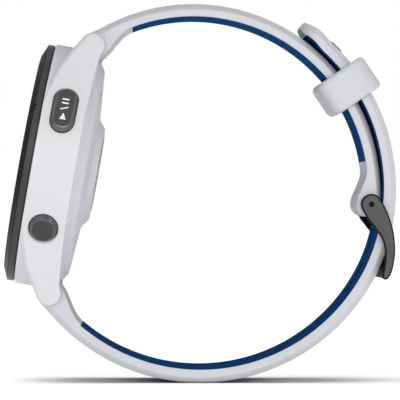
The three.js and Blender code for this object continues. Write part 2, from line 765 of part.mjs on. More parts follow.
function addBuckle() {
  // Outline of one arm from the pin: round head, long bend and foot.
  const fromPin = (points) =>
    points.map(([x, z]) => new THREE.Vector2(PIN.x + x, PIN.z + z));
  const arm = new THREE.Shape(new THREE.SplineCurve(fromPin([
    [-1.97, 0],
    [-1.35, 1.45],
    [0, 1.96],
    [1.5, 1.3],
    [2.83, -1.05],
    [4.1, -4.8],
    [4.46, -8.3],
    [4.1, -11.8],
    [3.1, -13.85],
    [2.25, -14.1],
    [2.1, -12.9],
    [2.5, -10.5],
    [2.4, -7.7],
    [1.3, -5.4],
    [-0.8, -2.6],
    [-1.8, -0.9],
    [-1.97, 0],
  ])).getPoints(ARM_STEPS));

  // The crossbar follows the band inside and the arms outside.
  const crossbar = across(new THREE.Shape(fromPin([
    [3.15, -9.6],
    [4.3, -9.6],
    [4.2, -10.6],
    [3.9, -11.8],
    [3.5, -12.9],
    [3.0, -13.65],
    [2.35, -13.95],
    [2.15, -13.4],
    [2.15, -12.1],
    [2.7, -10.8],
  ])), -12, 12);
  const notch = block([NOTCH.reach, -1.5, -3.5], [NOTCH.reach + 3, 1.5, 3.5])
    .rotateY(-rad(NOTCH.angle))
    .translate(LOOP.x, 0, LOOP.z);
  const frame = cut(
    union(
      across(arm, ARM.inside, ARM.outside, 4),
      across(arm, -ARM.outside, -ARM.inside, 4),
      crossbar,
    ),
    notch,
    rod(PIN.x, PIN.z, PIN.radius + GAP, -20, 20, 12),
  );

  // The tang leaves its ring on the pin, comes out through one adjustment hole
  // and lies in the crossbar's notch.
  const way = [
    [-6.5, 32.5],
    [-9.6, 33.1],
    [-11.7, 34.2],
    [-14.2, 37.1],
    [-16.6, 38.25],
    [-21.5, 38.7],
    [-26, 38.85],
  ].map(([angle, reach]) => polar(LOOP, angle, reach));
  const edge = (sign) =>
    way.map((point, i) => {
      const before = way[Math.max(0, i - 1)];
      const after = way[Math.min(way.length - 1, i + 1)];
      const run = after.clone().sub(before).normalize();
      return new THREE.Vector2(
        point.x - (sign * run.y * TANG.thick) / 2,
        point.y + (sign * run.x * TANG.thick) / 2,
      );
    });
  const blade = new THREE.Shape([...edge(1), ...edge(-1).reverse()]);
  const tang = cut(
    union(
      across(blade, -TANG.wide / 2, TANG.wide / 2),
      rod(PIN.x, PIN.z, TANG.ring, -TANG.wide / 2, TANG.wide / 2, 14),
    ),
    rod(PIN.x, PIN.z, PIN.radius + GAP, -20, 20, 12),
  );

  band.add(
    piece('buckle_frame', geometryOf(frame), DARK_STEEL),
    piece('buckle_pin', rod(PIN.x, PIN.z, PIN.radius, -12.5, 12.5, 12), DARK_STEEL),
    piece('buckle_tang', geometryOf(tang), DARK_STEEL),
  );
}

function addKeeper() {
  const height = KEEPER.outer - KEEPER.inner;
  const middle = (KEEPER.outer + KEEPER.inner) / 2;
  const section = along(roundedRect(KEEPER.width, height, 1.8), -KEEPER.long, KEEPER.long, 4);
  const profile = across(roundedRect(KEEPER.long, height, 1.5), -KEEPER.width, KEEPER.width, 4);
  const room = block(
    [-KEEPER.long, -BAND_WIDTH / 2 - GAP, KEEPER_ROOM.inner - middle],
    [KEEPER.long, BAND_WIDTH / 2 + GAP, KEEPER_ROOM.outer - middle],
  );
  const loop = cut(solid(section).intersect(solid(profile)), room);
  const keeper = piece('keeper_loop', geometryOf(loop), WHITE_SILICONE);
  const place = polar(SHORT_ARC, KEEPER.angle, middle);
  keeper.position.set(place.x, 0, place.y);
  keeper.rotation.y = rad(90 - KEEPER.angle);
  band.add(keeper);
}

addStraps();
addSpringBar('upper', UPPER_BAR, 12.2, -40, 0);
addSpringBar('lower', LOWER_BAR, 11, -65, -1.2);
addBuckle();
addKeeper();

const group = new THREE.Group();
group.add(head, band);

export default group;
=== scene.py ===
import json
import math

import bmesh
import bpy
from mathutils import Matrix, Vector


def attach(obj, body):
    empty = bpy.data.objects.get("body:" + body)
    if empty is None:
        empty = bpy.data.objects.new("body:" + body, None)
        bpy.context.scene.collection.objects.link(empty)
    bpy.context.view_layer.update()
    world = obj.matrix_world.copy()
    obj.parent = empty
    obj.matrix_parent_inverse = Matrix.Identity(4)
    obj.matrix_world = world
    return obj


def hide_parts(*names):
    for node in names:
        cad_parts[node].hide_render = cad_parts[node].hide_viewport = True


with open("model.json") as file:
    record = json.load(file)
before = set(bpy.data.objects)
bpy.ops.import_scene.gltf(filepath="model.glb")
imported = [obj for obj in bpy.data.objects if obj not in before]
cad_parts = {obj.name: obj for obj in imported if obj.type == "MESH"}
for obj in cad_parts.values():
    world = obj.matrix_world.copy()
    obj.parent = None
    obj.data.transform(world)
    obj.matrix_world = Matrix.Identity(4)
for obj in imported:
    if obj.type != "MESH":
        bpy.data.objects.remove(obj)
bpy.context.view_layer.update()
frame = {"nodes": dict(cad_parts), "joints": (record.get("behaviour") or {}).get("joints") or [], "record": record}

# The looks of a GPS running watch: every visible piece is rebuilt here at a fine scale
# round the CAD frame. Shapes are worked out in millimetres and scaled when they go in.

# ------------ dimensions, in mm

MM = 0.001
TURNS = 180  # facets of a large turned piece

# Head: depth counts from the dial's front, reach towards twelve o'clock.
SENSOR_DEPTH = 14.45
BAR_DEPTH, BAR_REACH = 9.4, 23.6
CASE_RADIUS = 23.05
CASE_FRONT = 2.45
CASE_CREASE = 10.4
CAVITY_RADIUS = 19.4
BEZEL_RADIUS, BEZEL_FLAT, BEZEL_WINDOW = 22.75, 20.5, 18.2
BEZEL_EDGE, BEZEL_BACK = 0.97, 2.17  # depths at which the front chamfer and the wall end
STROKES = (25.9, 27.9)  # azimuths of the two strokes cut across the chamfer
STROKE_SPAN = (25, 28.8)  # azimuths between which sunk faces belong to a stroke
LUG_INSIDE, LUG_TIP_RADIUS, LUG_CHAMFER, LUG_EASE = 11.3, 2.35, 0.6, 0.15
LUG_LEAVE = 26  # degrees from three o'clock at which the flanks leave the barrel
LUG_START = CASE_RADIUS * math.sin(math.radians(LUG_LEAVE))
COVER_RADIUS = 20.8
SENSOR_RADIUS = 7.6
SCREW_CIRCLE = 17.2
SCREW_ANGLES = (52, 128, 232, 308)
PORT_REACH = -14.2

# Buttons: angle from three o'clock towards twelve, then length and width of the cap.
BUTTON_DEPTH = 6.5
BUTTON_TOP = 23.9
BUTTON_POCKET = 21.6
BUTTONS = {
    "start": (27.1, 8.95, 4.5),
    "back": (-30.3, 5.6, 5.3),
    "light": (150, 5.5, 5.5),
    "up": (180, 5.5, 5.5),
    "down": (210, 5.5, 5.5),
}

# Band: arcs whose angles count from +X towards +Z.
BAND_HALF = 11.0
BAND_THICK = 2.45
LINER_THICK = 0.42
LINER_RIM = 0.42  # white rim beside the short half's liner
SIDE_LINER_THICK = 0.25  # the long half's liner shows at the band's sides
BEVEL_HIGH, BEVEL_WIDE = 1.1, 1.3
ROOT_RADIUS = 2.45
ROOT_BLEND = 14
LOOP_CENTRE = Vector((0.2, 37.27))
LOOP_RADIUS = 37.27
LOOP_CHANGES = ((-0.5, -30, 45), (-0.25, 15, 30), (0.45, 47, 6))  # change, first angle, span
LONG_THICK, LONG_THINNING = 2.79, (0.19, -12, 15)
TAIL_END, TIP_START = 57.6, 49
TIP_OUTER = ((52.2, 0), (54, -0.12), (57.1, -0.3), (57.35, -0.48), (57.5, -0.75), (57.6, -1.3))
TIP_INNER = ((53.8, 0), (54.8, 0.1), (56, 0.35), (57, 0.6), (57.35, 0.75), (57.5, 0.88), (57.6, 1.0))
SHORT_RADIUS = 35.3
BULB_START, BULB_CENTRE, BULB_INWARD, BULB_OUTWARD = 7.5, -4.3, 2.1, 0.15
SHORT_LINER = (9.9, 110.4)
LONG_LINER = (-130.4, 54.6)
HOLE_FIRST, HOLE_PITCH, HOLE_COUNT = -34.3, 7.1, 12
HOLE_LONG, HOLE_WIDE = 3.4, 2.8
TAG_ANGLE, TAG_LONG, TAG_WIDE, TAG_PROUD = 45.4, 2.6, 13.0, 0.34
BORE_RADIUS = 1.1
UPPER_TILT, LOWER_TILT = -40, -65  # the way the bars' knobs point
FLUSH = 0.015  # recess of a section without a liner

PIN_RADIUS = 0.6
ARM_INSIDE, ARM_OUTSIDE = 11.3, 12.7
NOTCH_ANGLE, NOTCH_REACH = -23, 38.05
KEEPER_ANGLE, KEEPER_INNER, KEEPER_OUTER = 34.1, 30.1, 40.5
KEEPER_LONG, KEEPER_HALF = 6.75, 13.25
KEEPER_ROOM = (32.3, 38.75)

# ------------ places, from the frame

MOUNTS = {m["name"]: m for m in frame["record"]["mounts"]}
JOINTS = {j["name"]: j for j in frame["joints"]}


def joint_place(name):
    x, _, z = JOINTS[name]["pos_m"]
    return Vector((x, z)) / MM


HEAD_AXIS = Vector(MOUNTS["sensor_face"]["axis"]).normalized()
DIAL_CENTRE = Vector(MOUNTS["sensor_face"]["pos_m"]) / MM - HEAD_AXIS * SENSOR_DEPTH
HEAD_UP = HEAD_AXIS.cross(Vector((0, 1, 0)))
HEAD = Matrix((HEAD_AXIS, Vector((0, 1, 0)), HEAD_UP)).transposed().to_4x4()
HEAD.translation = DIAL_CENTRE

UPPER_BAR = joint_place("band_swing")
LOWER_BAR = (HEAD @ Vector((BAR_DEPTH, 0, -BAR_REACH))).xz
PIN = joint_place("buckle_pivot")
SHORT_CENTRE = joint_place("keeper_slide")

# ------------ curves


def clamp01(t):
    return min(1.0, max(0.0, t))


def smooth(t):
    t = clamp01(t)
    return t * t * (3 - 2 * t)


def spread(start, end, steps):
    return [start + (end - start) * i / steps for i in range(steps + 1)]


def between(table, x):
    """Straight-line interpolation in a table of (x, value) pairs."""
    if x <= table[0][0]:
        return table[0][1]
    for (x0, low), (x1, high) in zip(table, table[1:]):
        if x <= x1:
            return low + (high - low) * (x - x0) / (x1 - x0)
    return table[-1][1]


ORIGIN = Vector((0, 0))


def polar(centre, angle, radius):
    a = math.radians(angle)
    return centre + Vector((math.cos(a), math.sin(a))) * radius


def turned_place(centre, degrees):
    """Turns a piece about Y and carries it to a point of the XZ plane, as a matrix."""
    return Matrix.Translation((centre.x, 0, centre.y)) @ Matrix.Rotation(math.radians(degrees), 4, "Y")


def angle_about(centre, point):
    return math.degrees(math.atan2(point.y - centre.y, point.x - centre.x))


def rounded(points, steps=4, loop=False):
    """A polyline of (x, y, radius) corners, each rounded by an arc of fixed point count."""
    out = []
    count = len(points)
    for i, (x, y, radius) in enumerate(points):
        corner = Vector((x, y))
        if not loop and i in (0, count - 1) or radius == 0:
            out.append(corner)
            continue
        before = Vector(points[i - 1][:2]) - corner
        after = Vector(points[(i + 1) % count][:2]) - corner
        half = before.angle(after) / 2
        run = radius / math.tan(half)
        run = min(run, 0.49 * before.length, 0.49 * after.length)
        start = corner + before.normalized() * run
        end = corner + after.normalized() * run
        weight = math.sin(half)
        for t in spread(0, 1, steps):
            parts = ((1 - t) ** 2, 2 * weight * t * (1 - t), t ** 2)
            out.append((start * parts[0] + corner * parts[1] + end * parts[2]) / sum(parts))
    return out


def spline(points, steps=8):
    """A smooth open curve through the points (Catmull-Rom)."""
    out = []
    ends = [points[0] * 2 - points[1]] + list(points) + [points[-1] * 2 - points[-2]]
    for a, b, c, d in zip(ends, ends[1:], ends[2:], ends[3:]):
        for i in range(steps):
            t = i / steps
            out.append(0.5 * (2 * b + (c - a) * t + (2 * a - 5 * b + 4 * c - d) * t * t
                              + (3 * b - a - 3 * c + d) * t ** 3))
    return out + [points[-1]]


def rounded_box(half, low, high, radius, steps=4):
    """A rounded rectangle, centred in its first axis only."""
    corners = ((-half, low), (half, low), (half, high), (-half, high))
    return rounded([(*corner, radius) for corner in corners], steps, loop=True)


def smooth_loop(points, steps):
    """The same for a closed curve."""
    ring = spline(points[-2:] + points + points[:2], steps)
    return ring[2 * steps:(len(points) + 2) * steps]


def pill(width, length, steps=24):
    """Outline of a pill whose long axis is Y."""
    radius, offset = width / 2, (length - width) / 2
    out = []
    for side in (0, 1):
        for t in spread(0, 180, steps):
            a = math.radians(t + 180 * side)
            lift = offset if side == 0 else -offset
            out.append(Vector((radius * math.cos(a), radius * math.sin(a) + lift)))
        low = -offset if side else offset
        if offset > 0.01:
            x = -radius if side == 0 else radius
            out += [Vector((x, low - 2 * low * k / 6)) for k in range(1, 6)]
    return out


def inset(outline, amount):
    """A closed smooth outline moved inwards along its normals."""
    area = sum(a.x * b.y - b.x * a.y for a, b in zip(outline, outline[1:] + outline[:1]))
    sign = 1 if area > 0 else -1
    out = []
    for i, point in enumerate(outline):
        run = (outline[(i + 1) % len(outline)] - outline[i - 1]).normalized()
        out.append(point + Vector((-run.y, run.x)) * amount * sign)
    return out


# ------------ meshes


def new_object(name, points, faces):
    mesh = bpy.data.meshes.new(name)
    mesh.from_pydata([tuple(p) for p in points], [], faces)
    work = bmesh.new()
    work.from_mesh(mesh)
    bmesh.ops.remove_doubles(work, verts=work.verts, dist=1e-5)
    bmesh.ops.recalc_face_normals(work, faces=work.faces)
    work.to_mesh(mesh)
    work.free()
    obj = bpy.data.objects.new(name, mesh)
    bpy.context.scene.collection.objects.link(obj)
    return obj


def loft(name, rings, closed=False):
    """A skin over rings of equal point count, capped at both ends unless it closes."""
    count = len(rings[0])
    points = [p for ring in rings for p in ring]
    faces = []
    last = len(rings) if closed else len(rings) - 1
    for r in range(last):
        a, b = r * count, ((r + 1) % len(rings)) * count
        for i in range(count):
            j = (i + 1) % count
            faces.append((a + i, a + j, b + j, b + i))
    if not closed:
        faces.append(tuple(range(count)))
        faces.append(tuple(len(points) - 1 - i for i in range(count)))
    return new_object(name, points, faces)


def turned(name, profile, turns=TURNS, closed=False):
    """A lathe about the head's axis from (radius, depth) points."""
    rings = []
    for radius, depth in profile:
        if radius < 1e-6:
            rings.append([Vector((depth, 0, 0))])
            continue
        steps = [2 * math.pi * k / turns for k in range(turns)]
        rings.append([Vector((depth, radius * math.cos(a), radius * math.sin(a))) for a in steps])
    points, starts, faces = [], [], []
    for ring in rings:
        starts.append(len(points))
        points += ring
    pairs = list(zip(range(len(rings)), range(1, len(rings))))
    if closed:
        pairs.append((len(rings) - 1, 0))
    for one, two in pairs:
        for k in range(turns):
            n = (k + 1) % turns
            a = starts[one] + (k if len(rings[one]) > 1 else 0)
            b = starts[one] + (n if len(rings[one]) > 1 else 0)
            c = starts[two] + (n if len(rings[two]) > 1 else 0)
            d = starts[two] + (k if len(rings[two]) > 1 else 0)
            faces.append(tuple(dict.fromkeys((a, b, c, d))))
    return new_object(name, points, [f for f in faces if len(f) > 2])


def prism(name, outline, low, high, place):
    """An outline carried between two heights; place turns (x, y, height) into a point."""
    return loft(name, [[place(p.x, p.y, h) for p in outline] for h in (low, high)])


def slabs(name, outlines, low, high, place):
    """Several prisms as one object."""
    points, faces = [], []
    for outline in outlines:
        start, count = len(points), len(outline)
        for h in (low, high):
            points += [place(p.x, p.y, h) for p in outline]
        faces += [tuple(start + i for i in range(count)),
                  tuple(start + 2 * count - 1 - i for i in range(count))]
        faces += [(start + i, start + (i + 1) % count, start + count + (i + 1) % count,
                   start + count + i) for i in range(count)]
    return new_object(name, points, faces)


def across(x, y, h):
    """Drawn in X and Z, carried along Y."""
    return Vector((x, h, y))


def along(x, y, h):
    """Drawn in Y and Z, carried along X."""
    return Vector((h, x, y))


def upright(x, y, h):
    """Drawn in X and Y, carried along Z."""
    return Vector((x, y, h))


def block(name, low, high):
    corners = ((low[0], low[2]), (high[0], low[2]), (high[0], high[2]), (low[0], high[2]))
    return prism(name, [Vector(p) for p in corners], low[1], high[1], across)


def circle(radius, turns=48):
    return [Vector((radius * math.cos(a), radius * math.sin(a)))
            for a in (2 * math.pi * k / turns for k in range(turns))]


def rod(name, x, z, radius, low, high, turns=48):
    """A round bar parallel to Y."""
    return prism(name, [p + Vector((x, z)) for p in circle(radius, turns)], low, high, across)


def moved(obj, matrix):
    obj.data.transform(matrix)
    return obj


def settle(obj):
    """Puts the result of the object's modifiers into its mesh."""
    graph = bpy.context.evaluated_depsgraph_get()
    mesh = bpy.data.meshes.new_from_object(obj.evaluated_get(graph))
    obj.modifiers.clear()
    obj.data = mesh
    return obj


def combine(obj, operation, others):
    for other in others:
        tool = obj.modifiers.new("combine", "BOOLEAN")
        tool.operation = operation
        tool.solver = "EXACT"
        tool.object = other
    settle(obj)
    for other in others:
        bpy.data.objects.remove(other)
    return obj


def carve(obj, *others):
    return combine(obj, "DIFFERENCE", others)


def fuse(obj, *others):
    return combine(obj, "UNION", others)


def soften(obj, width, steps=2, angle=32, where=None):
    """Rounds every edge sharper than the angle, or only those whose middle passes a test."""
    work = bmesh.new()
    work.from_mesh(obj.data)
    bmesh.ops.dissolve_degenerate(work, dist=1e-4, edges=work.edges)
    bmesh.ops.remove_doubles(work, verts=work.verts, dist=1e-4)
    weight = work.edges.layers.float.new("bevel_weight_edge")
    for edge in work.edges:
        middle = (edge.verts[0].co + edge.verts[1].co) / 2
        sharp = edge.is_manifold and edge.calc_face_angle() > math.radians(angle)
        edge[weight] = float(sharp and (where is None or where(middle)))
    work.to_mesh(obj.data)
    work.free()
    tool = obj.modifiers.new("soften", "BEVEL")
    tool.width = width
    tool.segments = steps
    tool.limit_method = "WEIGHT"
    tool.use_clamp_overlap = False
    tool.miter_outer = "MITER_ARC"
    return settle(obj)


def install(obj, body, materials, nodes=(), place=None, sharp=40):
    """Scales a finished piece to metres, shades it and hangs it on its body."""
    obj.data.transform(Matrix.Scale(MM, 4) @ (place or Matrix.Identity(4)))
    if not isinstance(materials, (list, tuple)):
        materials = [materials]
    for material in materials:
        obj.data.materials.append(material)
    obj.data.shade_smooth()
    obj.data.set_sharp_from_angle(angle=math.radians(sharp))
    tool = obj.modifiers.new("even", "WEIGHTED_NORMAL")
    tool.keep_sharp = True
    tool.weight = 90
    settle(obj)
    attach(obj, body)
    if nodes:
        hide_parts(*nodes)
    return obj


# ------------ materials

NOISE_SPAN = (0.3, 0.7)  # the part of a noise's range that is used


class Look:
    """A node material built round one Principled shader, textured in object space."""

    def __init__(self, name, **uniform):
        self.material = bpy.data.materials.new(name)
        self.material.use_nodes = True
        self.tree = self.material.node_tree
        self.shader = self.tree.nodes["Principled BSDF"]
        for socket, value in uniform.items():
            self.shader.inputs[socket.replace("_", " ")].default_value = value
        self.place = self.node("ShaderNodeTexCoord").outputs["Object"]

    def node(self, kind):
        return self.tree.nodes.new(kind)

    def link(self, source, target):
        self.tree.links.new(source, target)

    def noise(self, size_mm, detail=3.0, stretch=(1, 1, 1)):
        mapping = self.node("ShaderNodeMapping")
        mapping.inputs["Scale"].default_value = stretch
        self.link(self.place, mapping.inputs["Vector"])
        noise = self.node("ShaderNodeTexNoise")
        noise.inputs["Scale"].default_value = 1 / (size_mm * MM)
        noise.inputs["Detail"].default_value = detail
        self.link(mapping.outputs["Vector"], noise.inputs["Vector"])
        return noise.outputs["Fac"]

    def colour(self, base, vary, size_mm):
        ramp = self.node("ShaderNodeValToRGB")
        shares = (1 - vary, 1 + vary)
        for element, position, share in zip(ramp.color_ramp.elements, NOISE_SPAN, shares):
            element.position = position
            element.color = (*(min(1, c * share) for c in base), 1)
        self.link(self.noise(size_mm), ramp.inputs["Fac"])
        self.link(ramp.outputs["Color"], self.shader.inputs["Base Color"])
        return self

    def rough(self, low, high, size_mm):
        span = self.node("ShaderNodeMapRange")
        span.inputs["From Min"].default_value, span.inputs["From Max"].default_value = NOISE_SPAN
        span.inputs["To Min"].default_value = low
        span.inputs["To Max"].default_value = high
        self.link(self.noise(size_mm), span.inputs["Value"])
        self.link(span.outputs["Result"], self.shader.inputs["Roughness"])
        return self

    def grain(self, size_mm, height_mm, stretch=(1, 1, 1)):
        bump = self.node("ShaderNodeBump")
        bump.inputs["Distance"].default_value = height_mm * MM
        self.link(self.noise(size_mm, 2.0, stretch), bump.inputs["Height"])
        self.link(bump.outputs["Normal"], self.shader.inputs["Normal"])
        return self


POLYMER = (Look("white_polymer", Specular_IOR_Level=0.45)
           .colour((0.680, 0.679, 0.676), 0.012, 6).rough(0.42, 0.52, 1.2).grain(0.16, 0.006)).material
SILICONE = (Look("white_silicone", Specular_IOR_Level=0.3)
            .colour((0.602, 0.603, 0.614), 0.014, 5).rough(0.55, 0.66, 1.5).grain(0.2, 0.008)).material
NAVY = (Look("navy_silicone", Specular_IOR_Level=0.0)
        .colour((0.011, 0.070, 0.204), 0.05, 4).rough(0.82, 0.92, 1.2).grain(0.2, 0.008)).material
# A darker copy of the navy: painted shade on the liner's sides.
NAVY_SHADE = (Look("navy_painted_shade", Specular_IOR_Level=0.02)
             .colour((0.004, 0.026, 0.090), 0.05, 4).rough(0.66, 0.78, 1.2).grain(0.2, 0.008)).material
BEZEL = (Look("bezel_coat", Specular_IOR_Level=0.15)
         .colour((0.058, 0.058, 0.060), 0.08, 5).rough(0.30, 0.40, 1.0).grain(0.12, 0.004)).material
# A darker copy of the bezel coat: painted shade on the faces turned towards the dial's side.
BEZEL_SHADE = (Look("bezel_painted_shade", Specular_IOR_Level=0.03)
              .colour((0.016, 0.016, 0.017), 0.08, 5).rough(0.30, 0.40, 1.0).grain(0.12, 0.003)).material
KEY = (Look("key_metal", Metallic=0.3, Specular_IOR_Level=0.4)
       .colour((0.070, 0.070, 0.070), 0.06, 3).rough(0.34, 0.44, 0.6).grain(0.09, 0.004)).material
# A brighter, more metallic copy of the key metal: painted highlight on the keys' sloped skirts.
KEY_SHEEN = (Look("key_painted_sheen", Metallic=0.9)
           .colour((0.150, 0.150, 0.152), 0.06, 3).rough(0.26, 0.36, 0.6).grain(0.09, 0.004)).material
KEY_MARK = (Look("key_mark").colour((0.86, 0.87, 0.88), 0.02, 1).rough(0.4, 0.5, 1)).material
STEEL = (Look("buckle_coat", Metallic=0.55, Specular_IOR_Level=0.5)
         .colour((0.058, 0.057, 0.056), 0.07, 3).rough(0.36, 0.46, 0.7)
         .grain(0.12, 0.005, (1, 1, 0.15))).material
# Near-black steel: the dark colour of the pin and tang, and painted shade on the buckle's edges, inner faces and
# crossbar.
STEEL_BLACK_AND_SHADE = (Look("buckle_black_and_shade", Specular_IOR_Level=0.03)
              .colour((0.012, 0.012, 0.013), 0.1, 2).rough(0.40, 0.50, 0.7).grain(0.1, 0.003)).material
BRIGHT = (Look("plain_steel", Metallic=1.0)
          .colour((0.60, 0.61, 0.63), 0.05, 2).rough(0.26, 0.36, 0.5)
          .grain(0.08, 0.003, (0.2, 1, 1))).material
BLACK = (Look("black_moulding", Specular_IOR_Level=0.12).colour((0.014, 0.014, 0.016), 0.1, 2)
         .rough(0.45, 0.6, 0.8).grain(0.12, 0.005)).material
SENSOR = (Look("sensor_glass", Coat_Weight=0.6, Coat_Roughness=0.04)
          .colour((0.010, 0.010, 0.012), 0.15, 3).rough(0.08, 0.14, 2).grain(0.6, 0.0008)).material
DIODE = (Look("diode_window", Coat_Weight=0.4).colour((0.075, 0.095, 0.07), 0.2, 0.5)
         .rough(0.2, 0.35, 0.3).grain(0.2, 0.004)).material
PANEL = (Look("display_black").colour((0.004, 0.004, 0.005), 0.2, 4).rough(0.2, 0.3, 2)).material
BOARD = (Look("solder_mask").colour((0.02, 0.11, 0.045), 0.15, 1).rough(0.4, 0.6, 0.5)
         .grain(0.4, 0.02)).material
FOIL = (Look("battery_foil", Metallic=0.8).colour((0.5, 0.51, 0.53), 0.08, 1)
        .rough(0.35, 0.5, 0.8).grain(1.2, 0.05)).material
GOLD = (Look("gold_plate", Metallic=1.0).colour((0.78, 0.56, 0.24), 0.06, 0.6)
        .rough(0.22, 0.34, 0.4).grain(0.1, 0.003)).material
RUBBER = (Look("seal_rubber").colour((0.012, 0.012, 0.013), 0.12, 0.8)
          .rough(0.6, 0.8, 0.4).grain(0.1, 0.006)).material


def clear_glass():
    look = Look("cover_glass", Transmission_Weight=1.0, IOR=1.46, Roughness=0.02)
    return look.colour((0.93, 0.95, 0.97), 0.01, 8).grain(4, 0.0005).material


def lit(name, colour, strength):
    look = Look(name, Emission_Strength=strength)
    look.shader.inputs["Emission Color"].default_value = (*colour, 1)
    return look.colour(colour, 0.04, 1.5).rough(0.35, 0.45, 1).material


GLASS = clear_glass()
LIT_WHITE = lit("lit_white", (0.82, 0.86, 0.90), 0.75)
LIT_BLUE = lit("lit_blue", (0.05, 0.36, 0.85), 0.8)
LIT_GREY = lit("lit_grey", (0.26, 0.29, 0.33), 0.35)

SLOT_LOOKS = {
    "white_polymer": POLYMER, "white_silicone": SILICONE, "navy_silicone": NAVY,
    "dark_bezel": BEZEL, "dark_key": KEY, "dark_steel": STEEL, "bright_steel": BRIGHT,
    "cover_glass": GLASS, "display": PANEL, "black_plastic": BLACK, "circuit_board": BOARD,
    "battery_foil": FOIL, "gold": GOLD, "seal_rubber": RUBBER,
}
for part in frame["record"]["subparts"]:
    cad = frame["nodes"][part["node"]]
    cad.data.materials.clear()
    cad.data.materials.append(SLOT_LOOKS[part["material_slot"]])

# ------------ head


def button_place(angle):
    """X along the case's depth, Y round its rim, Z outwards, as a matrix in the head's frame."""
    return Matrix.Rotation(-math.radians(angle), 4, "X") @ Matrix.Rotation(math.pi / 2, 4, "X")


def pill_stack(name, width, length, levels):
    """Pills stacked along Z at (inset, height) levels, over the button's depth."""
    rings = []
    for amount, height in levels:
        ring = pill(width - 2 * amount, length - 2 * amount)
        rings.append([Vector((p.x + BUTTON_DEPTH, p.y, height)) for p in ring])
    return loft(name, rings)


def round_hole(name, reach_y, reach_z, radius, low, high):
    return prism(name, [p + Vector((reach_y, reach_z)) for p in circle(radius, 40)], low, high, along)


def make_lugs(side):
    """A pair of lugs at one end, between the two planes that touch the barrel at LUG_LEAVE."""
    half = rounded([
        (CASE_FRONT, LUG_START, 0), (CASE_FRONT, 11.4, 3), (2.9, 15.3, 8), (4.3, 19.4, 8),
        (5.55, 21.5, 5), (6.3, 22.9, 4), (7.13, 24.21, 0)], 6)[:-1]
    chamfers = [LUG_CHAMFER * smooth((p.y - 11.8) / 3.4) for p in half]
    for t in spread(165, -20, 18):
        half.append(polar(Vector((BAR_DEPTH, BAR_REACH)), t, LUG_TIP_RADIUS))
        chamfers.append(LUG_EASE + (LUG_CHAMFER - LUG_EASE) * smooth((t - 20) / 70))
    rear = rounded([(11.3, 22.2, 0), (11.1, 21.2, 2), (10.9, 18.1, 6), (10.6, 13.2, 10),
                    (CASE_CREASE, LUG_START, 0)], 4)
    half += rear
    chamfers += [LUG_EASE * smooth((p.y - 13) / 4) for p in rear]
    shrunk = [p.lerp(q, c) for p, q, c in zip(half, inset(half, 1), chamfers)]
    sine, cosine = math.sin(math.radians(LUG_LEAVE)), math.cos(math.radians(LUG_LEAVE))

    def ring(outline, sinks, hand):
        return [Vector((p.x, hand * (CASE_RADIUS - sink - p.y * sine) / cosine, side * p.y))
                for p, sink in zip(outline, sinks)]

    flush = [0] * len(half)
    lugs = loft("lugs", [ring(shrunk, flush, 1), ring(half, chamfers, 1),
                         ring(half, chamfers, -1), ring(shrunk, flush, -1)])
    core = [(0, -1), (CASE_RADIUS - 0.6, -1), (CASE_RADIUS - 0.6, 15), (0, 15)]
    return carve(lugs, turned("core", core))


def make_mid_case():
    body = turned("mid_case_shell", [
        (CAVITY_RADIUS, CASE_FRONT), (CASE_RADIUS, CASE_FRONT), (CASE_RADIUS, CASE_CREASE),
        (COVER_RADIUS + 0.14, CASE_CREASE + 1.1), (COVER_RADIUS + 0.14, CASE_CREASE + 0.1),
        (CAVITY_RADIUS, CASE_CREASE + 0.1)], closed=True)
    fuse(body, make_lugs(1), make_lugs(-1))

    room = ROOT_RADIUS + 0.35
    for side in (1, -1):
        z = side * BAR_REACH
        low, high = sorted((z - room, z + room))
        ends = sorted((z, z + side * 6))
        carve(
            body,
            rod("slot", BAR_DEPTH, z, room, -LUG_INSIDE, LUG_INSIDE, 96),
            block("slot_rear", (BAR_DEPTH, -LUG_INSIDE, low), (16, LUG_INSIDE, high)),
            block("slot_tail", (BAR_DEPTH - room, -LUG_INSIDE, ends[0]), (16, LUG_INSIDE, ends[1])),
            rod("socket", BAR_DEPTH, z, 0.62, -12.6, 12.6, 32),
        )
    # The seams where the lugs leave the barrel stay crisp.
    soften(body, 0.12, 2, 34, lambda p: not LUG_START - 0.6 < abs(p.z) < 15.5)
    for angle, length, width in BUTTONS.values():
        turn = button_place(angle)
        lip = [(-0.14, BUTTON_POCKET), (-0.14, CASE_RADIUS - 0.05), (-0.2, CASE_RADIUS + 0.03),
               (-0.42, CASE_RADIUS + 0.25), (-0.42, 30)]
        carve(body, moved(pill_stack("pocket", width, length, lip), turn))
        bore = [p + Vector((BUTTON_DEPTH, 0)) for p in circle(1.2, 32)]
        carve(body, moved(prism("bore", bore, 18, 22, upright), turn))
    install(body, "case", POLYMER, ["mid_case"], HEAD, sharp=33)


